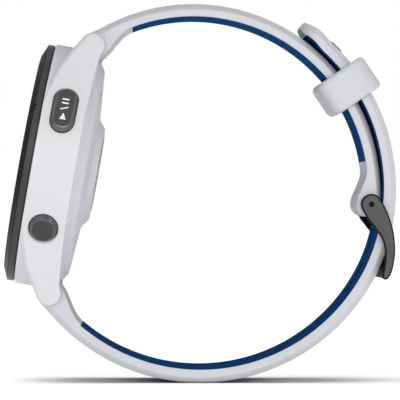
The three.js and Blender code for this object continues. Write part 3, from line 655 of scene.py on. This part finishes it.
def make_bezel():
    profile = rounded([
        (BEZEL_WINDOW, 0.3, 0.05), (BEZEL_WINDOW + 0.25, 0.02, 0.08), (BEZEL_FLAT, 0, 0.25),
        (BEZEL_RADIUS, BEZEL_EDGE, 0.22), (BEZEL_RADIUS, BEZEL_BACK, 0.12),
        (BEZEL_RADIUS - 0.4, BEZEL_BACK, 0),
        (BEZEL_RADIUS - 0.4, CASE_FRONT - 0.01, 0), (BEZEL_WINDOW + 0.6, CASE_FRONT - 0.01, 0),
        (BEZEL_WINDOW, 1.5, 0.1),
    ], 4, loop=True)
    bezel = turned("bezel", profile, 240, closed=True)
    down = Vector((BEZEL_EDGE, BEZEL_FLAT - BEZEL_RADIUS, 0)).normalized()
    across_rim = Vector((0, 0, 1))
    place = Matrix((down, across_rim, down.cross(across_rim))).transposed().to_4x4()
    place.translation = (0.48, -(BEZEL_RADIUS + BEZEL_FLAT) / 2, 0)
    for azimuth in STROKES:
        groove = block("groove", (-1.5, -0.14, -0.3), (1.5, 0.14, 1))
        carve(bezel, moved(groove, Matrix.Rotation(-math.radians(azimuth), 4, "X") @ place))
    # Faces turned towards the dial's side take the darker coat: painted shade.
    for face in bezel.data.polygons:
        centre = face.center
        from_rim = BEZEL_RADIUS - math.hypot(centre.y, centre.z)
        under = (centre.x - BEZEL_EDGE) * (BEZEL_RADIUS - BEZEL_FLAT) + from_rim * BEZEL_EDGE
        azimuth = math.degrees(math.atan2(centre.z, -centre.y))
        in_stroke = under > 0.12 and centre.x < 1.3 and STROKE_SPAN[0] < azimuth < STROKE_SPAN[1]
        face.material_index = 2 if in_stroke else 1 if face.normal.x < -0.4 else 0
    install(bezel, "case", [BEZEL, BEZEL_SHADE, BLACK], ["bezel_ring"], HEAD, sharp=30)


def make_dial():
    edge = BEZEL_WINDOW - 0.12
    lens = turned("lens_glass", rounded([
        (0, 0.2, 0), (edge - 0.35, 0.2, 0.15), (edge, 0.42, 0.1), (edge, 1.3, 0.05), (0, 1.3, 0)], 4))
    install(lens, "case", GLASS, ["lens"], HEAD)
    panel = turned("display_face", rounded([
        (0, 1.6, 0), (17.1, 1.6, 0.1), (17.1, 2.8, 0.1), (0, 2.8, 0)], 3))
    install(panel, "case", PANEL, ["display_panel"], HEAD)

    def stroke(outline, angle):
        turn = Matrix.Rotation(math.radians(angle), 2)
        return [turn @ Vector(p) for p in outline]

    def bar(half, low, high):
        return [(-half, low), (half, low), (half, high), (-half, high)]

    def graphic(name, outlines, depth, material):
        print_on = slabs(name, outlines, depth, depth + 0.03, along)
        install(print_on, "case", material, place=HEAD)

    hours = [stroke(bar(0.22, 13.6, 16.2), 30 * k) for k in range(12)]
    minutes = [stroke(bar(0.08, 15.1, 16.2), 6 * k) for k in range(60) if k % 5]
    hands = [stroke([(-0.5, -1.5), (0.5, -1.5), (0.62, 8.0), (0, 9.0), (-0.62, 8.0)], 60),
             stroke([(-0.38, -2), (0.38, -2), (0.45, 12.2), (0, 13.1), (-0.45, 12.2)], -52)]
    sweep = [polar(ORIGIN, t, 12.6) for t in spread(90, 330, 60)]
    sweep += [polar(ORIGIN, t, 11.9) for t in spread(330, 90, 60)]
    seconds = [stroke(bar(0.09, -3, 14), 150), circle(0.75, 32)]
    graphic("hour_marks", hours, 1.55, LIT_WHITE)
    graphic("minute_marks", minutes, 1.55, LIT_GREY)
    graphic("goal_arc", [sweep], 1.56, LIT_BLUE)
    graphic("hands", hands, 1.52, LIT_WHITE)
    graphic("second_hand", seconds, 1.48, LIT_BLUE)


def make_buttons():
    for key, (angle, length, width) in BUTTONS.items():
        levels = rounded([
            (1.6, 22.45, 0), (0.02, 22.45, 0.1), (0.0, 22.98, 0.08), (0.46, BUTTON_TOP - 0.08, 0.12),
            (0.66, BUTTON_TOP, 0.1), (1.9, BUTTON_TOP - 0.03, 0)], 3)
        cap = pill_stack(f"{key}_cap", width, length, [(p.x, p.y) for p in levels])
        moved(cap, button_place(angle))
        out = Vector((0, -math.cos(math.radians(angle)), math.sin(math.radians(angle))))
        # The sloped skirts take the brighter metal: painted highlight.
        for face in cap.data.polygons:
            face.material_index = 1 if 0.3 < face.normal.dot(out) < 0.94 else 0
        metal = KEY if key == "start" else BEZEL
        install(cap, f"{key}_key", [metal, KEY_SHEEN], [f"{key}_button"], HEAD)
    # A plain start and pause sign in thin strokes, printed on the long key.
    marks = [[(-0.62, -2.35), (0.62, -2.35), (0, -0.95)],
             [(-0.75, -0.42), (0.75, 0.2), (0.75, 0.45), (-0.75, -0.17)],
             [(-0.62, 0.95), (0.62, 0.95), (0.62, 1.25), (-0.62, 1.25)],
             [(-0.62, 1.75), (0.62, 1.75), (0.62, 2.05), (-0.62, 2.05)]]
    outlines = [rounded([(x + BUTTON_DEPTH, y, 0.06) for x, y in mark], 2, loop=True) for mark in marks]
    sign = slabs("start_sign", outlines, BUTTON_TOP - 0.06, BUTTON_TOP + 0.015, upright)
    moved(sign, button_place(BUTTONS["start"][0]))
    install(sign, "start_key", KEY_MARK, place=HEAD)


def make_back():
    profile = rounded([
        (SENSOR_RADIUS + 0.1, 11.4, 0), (COVER_RADIUS - 1.6, 10.9, 0), (COVER_RADIUS, 11.0, 0.05),
        (COVER_RADIUS, 11.5, 0.12), (19.6, 12.3, 0.35), (10.4, 13.05, 0.5), (8.8, 14.25, 0.35),
        (SENSOR_RADIUS + 0.1, 14.36, 0.06),
    ], 4, loop=True)
    cover = turned("back_cover", profile, closed=True)
    port = [Vector((p.y, p.x + PORT_REACH)) for p in pill(3.6, 8.8, 16)]
    carve(cover, prism("port", port, 12.15, 14, along))
    holes = []
    for i, angle in enumerate(SCREW_ANGLES):
        y, z = polar(ORIGIN, 180 - angle, SCREW_CIRCLE)
        holes.append(round_hole("seat", y, z, 1.55, 11.95, 14))
        head_profile = rounded([
            (0, 11.3, 0), (0.6, 11.3, 0), (0.6, 11.97, 0), (1.4, 11.97, 0.05), (1.4, 12.5, 0.15),
            (0, 12.55, 0)], 3)
        screw = turned(f"back_screw_{i + 1}", head_profile, 48)
        drive = [polar(ORIGIN, 30 * k, 0.42 if k % 2 else 0.62) for k in range(12)]
        carve(screw, prism("drive", drive, 12.25, 13, along))
        moved(screw, Matrix.Translation((0, y, z)))
        install(screw, "case", BRIGHT, [f"rear_screw_{i + 1}"], HEAD)
    for i in range(4):
        y = (i - 1.5) * 1.9
        holes.append(round_hole("contact_hole", y, PORT_REACH, 0.6, 11, 14))
        contact = turned(f"contact_{i + 1}", rounded([
            (0, 10.6, 0), (0.5, 10.6, 0), (0.5, 12.35, 0.12), (0.2, 12.42, 0.1), (0, 12.4, 0)], 3), 32)
        moved(contact, Matrix.Translation((0, y, PORT_REACH)))
        install(contact, "case", GOLD, [f"charge_contact_{i + 1}"], HEAD)
    carve(cover, *holes)
    soften(cover, 0.09, 2)
    install(cover, "case", POLYMER, ["rear_cover"], HEAD)

    window = turned("sensor_glass", rounded([
        (0, 12.6, 0), (SENSOR_RADIUS, 12.6, 0.1), (SENSOR_RADIUS, 14.32, 0.12),
        (SENSOR_RADIUS - 0.35, SENSOR_DEPTH, 0.2), (0, SENSOR_DEPTH, 0)], 4))
    install(window, "case", SENSOR, ["sensor_window"], HEAD)
    spots = [circle(1.25, 40)]
    for k in range(6):
        centre = polar(ORIGIN, 60 * k + 30, 4.6)
        turn = Matrix.Rotation(math.radians(60 * k + 30), 2)
        spots.append([centre + turn @ p for p in rounded_box(0.8, -1.15, 1.15, 0.2)])
    for k, outline in enumerate(spots):
        spot = prism(f"sensor_spot_{k + 1}", outline, SENSOR_DEPTH - 0.1, SENSOR_DEPTH + 0.012, along)
        install(spot, "case", DIODE, place=HEAD)


# ------------ band


def rib_outline(thick, half, recess, ends=1.0, flush=False):
    """Half-round-cornered strap section as (y, height over the inner face), point count fixed.

    The recess for the liner either lies between two rims or, flush, takes the whole width."""
    high = min(BEVEL_HIGH, 0.45 * thick)
    wide = BEVEL_WIDE * ends
    rim = half - LINER_RIM
    base, corner = (recess, 0.03) if flush else (0.0, 0.3)
    right = rounded([
        (rim, recess, 0), (rim + 0.01, base, 0), (half, base, corner), (half, thick - high, 0.5),
        (half - wide, thick - 0.06, 0.7), (half - wide - 1.2, thick, 0)], 4)
    top = [Vector((y, thick)) for y in spread(half - wide - 1.2, wide + 1.2 - half, 14)[1:-1]]
    floor = [Vector((y, recess)) for y in spread(-rim, rim, 14)[1:-1]]
    return right + top + [Vector((-p.x, p.y)) for p in reversed(right)] + floor


def rib(outer, inner, half=BAND_HALF, recess=FLUSH, ends=1.0, flush=False):
    """A strap section between an outer and an inner point of the XZ plane."""
    up = (outer - inner).normalized()
    outline = rib_outline((outer - inner).length, half, recess, ends, flush)
    return [across(*(inner + up * p.y), p.x) for p in outline]


def round_end(centre, angle, radius, heading, steps=12):
    """Sections over a strap's round end, from its far side to its full width."""
    a = math.radians(angle)
    forward = Vector((math.sin(a), -math.cos(a))) * heading
    outwards = Vector((math.cos(a), math.sin(a)))
    ribs = []
    for t in spread(-83, -4, steps):
        foot = centre + forward * (radius * math.sin(math.radians(t)))
        chord = outwards * (radius * math.cos(math.radians(t)))
        ribs.append(rib(foot + chord, foot - chord, ends=max(0.12, math.cos(math.radians(t)))))
    return ribs


def swell(t):
    return smooth(1.08 * t)


SHORT_ROOT = angle_about(SHORT_CENTRE, UPPER_BAR)
SHORT_REACH = (UPPER_BAR - SHORT_CENTRE).length
LONG_ROOT = angle_about(LOOP_CENTRE, LOWER_BAR)
LONG_REACH = (LOWER_BAR - LOOP_CENTRE).length


def loop_radius(angle):
    return LOOP_RADIUS + sum(change * smooth((angle - start) / run) for change, start, run in LOOP_CHANGES)


def long_inside(angle):
    change, start, run = LONG_THINNING
    return loop_radius(angle) - LONG_THICK + change * smooth((angle - start) / run)


def bulb_swell(angle):
    return smooth((BULB_START - angle) / (BULB_START - BULB_CENTRE))


def short_outer(angle):
    root = smooth((angle - SHORT_ROOT + 6) / 6)
    return (SHORT_RADIUS + BULB_OUTWARD * bulb_swell(angle)
            + (SHORT_REACH + ROOT_RADIUS - SHORT_RADIUS) * root)


def short_inner(angle):
    inside = SHORT_RADIUS - BAND_THICK
    root = swell((angle - SHORT_ROOT + ROOT_BLEND) / ROOT_BLEND)
    return inside - (inside - SHORT_REACH + ROOT_RADIUS) * root - BULB_INWARD * bulb_swell(angle)


def long_inner(angle):
    inside = long_inside(angle)
    root = swell((LONG_ROOT + ROOT_BLEND - angle) / ROOT_BLEND)
    return inside - (inside - LONG_REACH + ROOT_RADIUS) * root + between(TIP_INNER, angle)


def long_outer(angle):
    root = smooth((LONG_ROOT + 6 - angle) / 6)
    return (loop_radius(angle) + between(TIP_OUTER, angle)
            + (LONG_REACH + ROOT_RADIUS - LOOP_RADIUS) * root)


def long_half(angle):
    tip = clamp01((angle - TIP_START) / (TAIL_END - TIP_START))
    return BAND_HALF * (1 - 0.45 * tip ** 3.2)


def hole_cutter(angle, inside, outside):
    """A pill-shaped hole square to the band, opened a little at both faces."""
    levels = [(-0.35, inside - 2), (-0.35, inside - 0.02), (0.0, inside + 0.35),
              (0.0, outside - 0.35), (-0.35, outside + 0.02), (-0.35, outside + 2)]
    rings = []
    for amount, height in levels:
        ring = pill(HOLE_WIDE - 2 * amount, HOLE_LONG - 2 * amount, 12)
        rings.append([along(p.x, p.y, height) for p in ring])
    return moved(loft("hole", rings), turned_place(LOOP_CENTRE, -angle))


def hole_cutters():
    angles = [HOLE_FIRST + HOLE_PITCH * i for i in range(HOLE_COUNT)]
    return [hole_cutter(a, long_inside(a), loop_radius(a)) for a in angles]


def knob_slot(bar, tilt):
    slot = block("knob_slot", (-0.65, 5.2, -4), (0.65, 9.6, 0))
    return moved(slot, turned_place(bar, tilt))


def make_short_strap():
    def at(angle, recess=FLUSH):
        return rib(polar(SHORT_CENTRE, angle, short_outer(angle)),
                   polar(SHORT_CENTRE, angle, short_inner(angle)), recess=recess, ends=1.6)

    low, high = SHORT_LINER
    ribs = round_end(UPPER_BAR, SHORT_ROOT, ROOT_RADIUS, 1)
    ribs += [at(a) for a in spread(SHORT_ROOT, high + 0.05, 16)]
    ribs += [at(a, LINER_THICK) for a in spread(high, low, 90)]
    ribs += [at(a) for a in spread(low - 0.05, BULB_CENTRE, 18)]
    reach = (short_outer(BULB_CENTRE) + short_inner(BULB_CENTRE)) / 2
    radius = (short_outer(BULB_CENTRE) - short_inner(BULB_CENTRE)) / 2
    bulb = polar(SHORT_CENTRE, BULB_CENTRE, reach)
    ribs += list(reversed(round_end(bulb, BULB_CENTRE, radius, -1, 16)))
    strap = loft("short_band", ribs)
    carve(
        strap,
        rod("bore", UPPER_BAR.x, UPPER_BAR.y, BORE_RADIUS, -20, 20),
        rod("pin_bore", PIN.x, PIN.y, PIN_RADIUS + 0.1, -20, 20, 32),
        block("tang_slot", (29, -1.4, 28), (38, 1.4, 36)),
        knob_slot(UPPER_BAR, UPPER_TILT),
    )
    install(strap, "band", SILICONE, ["short_strap"])


def make_long_strap():
    def at(angle, recess=FLUSH):
        return rib(polar(LOOP_CENTRE, angle, long_outer(angle)),
                   polar(LOOP_CENTRE, angle, long_inner(angle)), long_half(angle), recess,
                   flush=recess > 0.1)

    low, high = LONG_LINER
    ribs = round_end(LOWER_BAR, LONG_ROOT, ROOT_RADIUS, -1)
    ribs += [at(a) for a in spread(LONG_ROOT, low - 0.05, 16)]
    ribs += [at(a, SIDE_LINER_THICK) for a in spread(low, high, 170)]
    tail = spread(high + 0.05, 57.1, 10) + [57.25, 57.35, 57.45, 57.5, 57.55, TAIL_END]
    ribs += [at(a) for a in tail]
    strap = loft("long_band", ribs)
    carve(
        strap,
        *hole_cutters(),
        rod("bore", LOWER_BAR.x, LOWER_BAR.y, BORE_RADIUS, -20, 20),
        knob_slot(LOWER_BAR, LOWER_TILT),
        tag_block("tag_pocket", 0.12, 0.55, 2),
    )
    install(strap, "band", SILICONE, ["long_strap"])


def tag_block(name, grow, deep, proud):
    """The tag's body, or its pocket, standing on the tail's outside."""
    top = loop_radius(TAG_ANGLE)
    long = TAG_LONG / 2 + grow
    outline = rounded_box(TAG_WIDE / 2 + grow, -long, long, 0.5, 5)
    levels = [(0, -deep), (0, proud)]
    if proud < 1:
        levels = [(0, -deep), (0, proud - 0.1), (0.04, proud - 0.03), (0.12, proud)]
    rings = [[along(p.x, p.y, top + rise) for p in inset(outline, amount)] for amount, rise in levels]
    return moved(loft(name, rings), turned_place(LOOP_CENTRE, -TAG_ANGLE))


def liner(name, centre, angles, inside, half, thick, node, holes=()):
    """The navy layer in the recess of a strap's inner face."""
    def section(angle):
        wide = half(angle)
        outline = rounded([(wide, thick, 0), (wide, 0.0, 0.12), (wide - 1, -0.02, 0)], 4)
        floor = [Vector((y, -0.02)) for y in spread(wide - 1, 1 - wide, 12)[1:-1]]
        back = [Vector((y, thick)) for y in spread(-wide, wide, 12)[1:-1]]
        full = outline + floor + [Vector((-p.x, p.y)) for p in reversed(outline)] + back
        return [across(*polar(centre, angle, inside(angle) + p.y), p.x) for p in full]

    piece = loft(name, [section(a) for a in angles])
    if holes:
        carve(piece, *holes)
    # Faces turned sideways take the darker navy: painted shade.
    for face in piece.data.polygons:
        face.material_index = 1 if abs(face.normal.y) > 0.6 else 0
    install(piece, "band", [NAVY, NAVY_SHADE], [node])


def make_liners():
    low, high = SHORT_LINER
    liner("short_liner", SHORT_CENTRE, spread(high - 0.05, low + 0.05, 90),
          short_inner, lambda angle: BAND_HALF - LINER_RIM - 0.02, LINER_THICK - 0.02, "short_strap_liner")
    low, high = LONG_LINER
    liner("long_liner", LOOP_CENTRE, spread(low + 0.05, high - 0.05, 170),
          long_inner, long_half, SIDE_LINER_THICK - 0.02, "long_strap_liner", hole_cutters())


def shaft(name, place, levels):
    """A turned piece about a line parallel to Y, from (radius, y) levels."""
    return loft(name, [[across(*(p + place), y) for p in circle(r, 40)] for r, y in levels])


def make_bars():
    """Spring bars with their quick-release plungers; the lower bar's tips are drawn in."""
    for name, bar, tip, tilt, shift in (("upper", UPPER_BAR, 12.2, UPPER_TILT, 0.0),
                                        ("lower", LOWER_BAR, 11.0, LOWER_TILT, -1.2)):
        barrel = shaft(f"bar_{name}", bar, [
            (0.3, -tip), (0.45, -tip + 0.2), (0.45, -10.7), (0.8, -10.7), (0.9, -10.55),
            (0.9, 4.85), (0.8, 5)])
        install(barrel, "band", BRIGHT, [f"spring_bar_{name}"])
        plunger = shaft(f"plunger_{name}", bar, [
            (0.8, 7 + shift), (0.9, 7.15 + shift), (0.9, 10.5 + shift), (0.8, 10.65 + shift),
            (0.45, 10.7 + shift), (0.45, 12 + shift), (0.3, 12.2 + shift)])
        knob = loft("knob", [[Vector((p.x, p.y + 8.2 + shift, z)) for p in circle(r, 32)]
                             for r, z in ((0.4, 0), (0.4, -1.8), (0.5, -1.9), (0.5, -2.2), (0.42, -2.35))])
        fuse(plunger, moved(knob, turned_place(bar, tilt)))
        install(plunger, f"{name}_release", BRIGHT, [f"quick_release_{name}"])


# ------------ buckle and keeper

# Outlines relative to the pin.
ARM_OUTER = ((-0.75, 1.81), (0, 1.96), (0.75, 1.81), (1.38, 1.38), (2.3, -0.05), (3.3, -2.23),
             (4.06, -4.8), (4.42, -7.4), (4.38, -9.8), (4.0, -12.0), (3.5, -13.4), (2.85, -14.08),
             (2.25, -14.0))
ARM_INNER = ((2.05, -13.3), (2.3, -12.0), (2.53, -9.8), (2.45, -8.0), (1.8, -6.15), (0.6, -4.45),
             (-0.7, -2.75), (-1.6, -1.2), (-1.93, -0.35), (-1.93, 0.45), (-1.5, 1.28))
CROSSBAR = ((3.1, -9.6), (4.36, -9.6), (4.25, -10.6), (3.97, -11.8), (3.55, -13.0), (3.0, -13.75),
            (2.36, -14.1), (2.1, -13.6), (2.1, -12.1), (2.68, -10.8))


# The tang's middle line as angles and radii about the loop's centre.
TANG_WAY = ((-6.5, 32.5), (-9.6, 33.1), (-11.7, 34.2), (-14.2, 37.1), (-16.6, 38.25), (-21.5, 38.7),
            (-26, 38.85))


def make_buckle():
    outline = smooth_loop([PIN + Vector(p) for p in ARM_OUTER + ARM_INNER], 6)

    def arm(side):
        levels = ((0.12, ARM_INSIDE), (0.0, ARM_INSIDE + 0.12), (0.0, ARM_OUTSIDE - 0.34),
                  (0.08, ARM_OUTSIDE - 0.16), (0.2, ARM_OUTSIDE - 0.04), (0.3, ARM_OUTSIDE))
        rings = [[across(*p, side * y) for p in inset(outline, amount)] for amount, y in levels]
        return loft("arm", rings)

    bar_outline = rounded([(PIN.x + x, PIN.y + z, 0.35) for x, z in CROSSBAR], 4, loop=True)
    crossbar = prism("crossbar", bar_outline, -12, 12, across)
    notch = block("notch", (NOTCH_REACH, -1.4, -3.5), (NOTCH_REACH + 3, 1.4, 3.5))
    moved(notch, turned_place(LOOP_CENTRE, -NOTCH_ANGLE))
    buckle = fuse(arm(1), arm(-1), crossbar)
    carve(buckle, notch, rod("pin_hole", PIN.x, PIN.y, 0.5, -20, 20, 40))
    # Only the flat outer sides of the arms are grey; edges, inner faces and the crossbar are near black, painted
    # shade.
    for face in buckle.data.polygons:
        flat = abs(face.normal.y) > 0.985 and abs(face.center.y) > ARM_OUTSIDE - 0.01
        face.material_index = 0 if flat else 1
    install(buckle, "buckle", [STEEL, STEEL_BLACK_AND_SHADE], ["buckle_frame"])

    pin_levels = ((0.2, -12.42), (0.36, -12.36), (0.42, -12.2), (0.42, -11.25), (PIN_RADIUS, -11.2),
                  (PIN_RADIUS, 11.2), (0.42, 11.25), (0.42, 12.2), (0.36, 12.36), (0.2, 12.42))
    pin = shaft("pin", PIN, pin_levels)
    install(pin, "band", STEEL_BLACK_AND_SHADE, ["buckle_pin"])

    way = spline([polar(LOOP_CENTRE, a, r) for a, r in TANG_WAY], 6)
    rings = []
    for i, point in enumerate(way):
        run = (way[min(i + 1, len(way) - 1)] - way[max(i - 1, 0)]).normalized()
        side = Vector((-run.y, run.x))
        last = 1 - 0.35 * smooth((i - len(way) + 5) / 4)
        wide, thick = 0.95 * last, 0.35 * last
        shape = rounded_box(wide, -thick, thick, 0.2, 3)
        rings.append([across(*(point + side * p.y), p.x) for p in shape])
    tang = loft("tang", rings)
    fuse(tang, rod("tang_ring", PIN.x, PIN.y, 1.6, -1, 1, 48))
    carve(tang, rod("tang_hole", PIN.x, PIN.y, PIN_RADIUS + 0.08, -20, 20, 40))
    install(tang, "tang", STEEL_BLACK_AND_SHADE, ["buckle_tang"])


def make_keeper():
    """A loop of thick silicone: a rounded wall swept round a rounded rectangle."""
    height = (KEEPER_OUTER - KEEPER_INNER) / 2
    middle = (KEEPER_OUTER + KEEPER_INNER) / 2
    outside = rounded([(-KEEPER_HALF, -height, 2.2), (KEEPER_HALF, -height, 2.2),
                       (KEEPER_HALF, height, 3.4), (-KEEPER_HALF, height, 3.4)], 10, loop=True)
    low, high = (reach - middle for reach in KEEPER_ROOM)
    inside = rounded_box(BAND_HALF + 0.28, low, high, 0.6, 10)
    half = KEEPER_LONG / 2
    rings = []
    for outer, inner in zip(outside, inside):
        wall = (outer - inner).length
        soft = min(1.5, wall * 0.6)
        run = (outer - inner).normalized()
        section = rounded([(0, -half, 0.25), (wall, -half, soft), (wall, half, soft), (0, half, 0.25)],
                          7, loop=True)
        rings.append([along(*(inner + run * p.x), p.y) for p in section])
    keeper = loft("keeper", rings, closed=True)
    moved(keeper, turned_place(polar(SHORT_CENTRE, KEEPER_ANGLE, middle), 90 - KEEPER_ANGLE))
    install(keeper, "keeper", SILICONE, ["keeper_loop"])


make_mid_case()
make_bezel()
make_dial()
make_buttons()
make_back()
make_short_strap()
make_long_strap()
make_liners()
install(tag_block("tail_tag", 0, 0.45, TAG_PROUD), "band", BLACK, ["strap_tag"])
make_bars()
make_buckle()
make_keeper()

# ------------ stage

CAMERA_PLACE = Vector((-10.2, -677, 33.85)) * MM
CAMERA_AIM = Vector((0.3, 0, 34.43)) * MM
VIEW_WIDTH = 76.34 * MM  # what the frame takes in at the watch's middle
FILM_WIDTH = 36.0
AMBIENT = (0.42, 0.43, 0.465)
DIM_SIDE = 0.8  # the sky's share of that on the dial's side
FLOOR_SEEN = (0.76, 0.752, 0.728)
FLOOR_LIT = (0.640, 0.640, 0.655)  # the floor's colour for the light it gives off

camera = bpy.data.objects.new("camera", bpy.data.cameras.new("camera"))
bpy.context.scene.collection.objects.link(camera)
camera.location = CAMERA_PLACE
camera.rotation_euler = (CAMERA_AIM - CAMERA_PLACE).to_track_quat("-Z", "Y").to_euler()
camera.data.sensor_width = FILM_WIDTH
camera.data.lens = FILM_WIDTH * (CAMERA_AIM - CAMERA_PLACE).length / VIEW_WIDTH
camera.data.clip_start = 0.01
bpy.context.scene.camera = camera


def sun(name, way, strength, spread_degrees, only=None, blockers=None):
    """A very wide, soft light. Collections can say what it lights and what shades it."""
    data = bpy.data.lights.new(name, "SUN")
    data.energy = strength * math.pi
    data.angle = math.radians(spread_degrees)
    lamp = bpy.data.objects.new(name, data)
    lamp.rotation_euler = Vector(way).to_track_quat("Z", "Y").to_euler()
    bpy.context.scene.collection.objects.link(lamp)
    if only:
        lamp.light_linking.receiver_collection = only
    if blockers:
        lamp.light_linking.blocker_collection = blockers


def seen_or_lit(tree, seen, lit, target):
    """One shader for what the camera looks at, another for the light it gives off."""
    rays = tree.nodes.new("ShaderNodeLightPath")
    mix = tree.nodes.new("ShaderNodeMixShader")
    tree.links.new(rays.outputs["Is Camera Ray"], mix.inputs["Fac"])
    tree.links.new(lit, mix.inputs[1])
    tree.links.new(seen, mix.inputs[2])
    tree.links.new(mix.outputs["Shader"], target)


def studio_world():
    """White to the eye, softer as a light so that white forms keep their shade."""
    world = bpy.data.worlds.new("studio")
    world.use_nodes = True
    tree = world.node_tree
    seen = tree.nodes["Background"]
    seen.inputs["Color"].default_value = (1, 1, 1, 1)
    seen.inputs["Strength"].default_value = 1.0
    glow = tree.nodes.new("ShaderNodeBackground")
    glow.inputs["Color"].default_value = (*AMBIENT, 1)
    way = tree.nodes.new("ShaderNodeTexCoord")
    split = tree.nodes.new("ShaderNodeSeparateXYZ")
    span = tree.nodes.new("ShaderNodeMapRange")
    span.inputs["From Min"].default_value = -1
    span.inputs["To Min"].default_value = DIM_SIDE
    tree.links.new(way.outputs["Generated"], split.inputs["Vector"])
    tree.links.new(split.outputs["X"], span.inputs["Value"])
    tree.links.new(span.outputs["Result"], glow.inputs["Strength"])
    seen_or_lit(tree, seen.outputs["Background"], glow.outputs["Background"],
                tree.nodes["World Output"].inputs["Surface"])
    bpy.context.scene.world = world


studio_world()
bpy.context.scene.view_settings.view_transform = "Standard"

corners = [(-4, -4, 0), (4, -4, 0), (4, 4, 0), (-4, 4, 0)]
floor = new_object("floor", corners, [(0, 1, 2, 3)])
floor_look = Look("floor_paper", Roughness=0.9, Specular_IOR_Level=0.0)
floor_look.colour(FLOOR_SEEN, 0.004, 40)
shade = floor_look.node("ShaderNodeBsdfDiffuse")
shade.inputs["Color"].default_value = (*FLOOR_LIT, 1)
seen_or_lit(floor_look.tree, floor_look.shader.outputs["BSDF"], shade.outputs["BSDF"],
            floor_look.tree.nodes["Material Output"].inputs["Surface"])
floor.data.materials.append(floor_look.material)
floor_only = bpy.data.collections.new("floor_only")
floor_only.objects.link(floor)
# Only the half that touches the floor shades it from above, so the shadow stays close.
band_only = bpy.data.collections.new("band_only")
band_only.objects.link(bpy.data.objects["long_band"])

sun("front_light", (0.12, -1, 0.0), 0.77, 60)
sun("high_light", (-0.4, -0.3, 0.8), 0.10, 60)
sun("side_light", (0.8, -0.5, 0.5), 0.06, 25)
sun("floor_light", (0, -0.05, 1), 0.93, 55, floor_only, band_only)
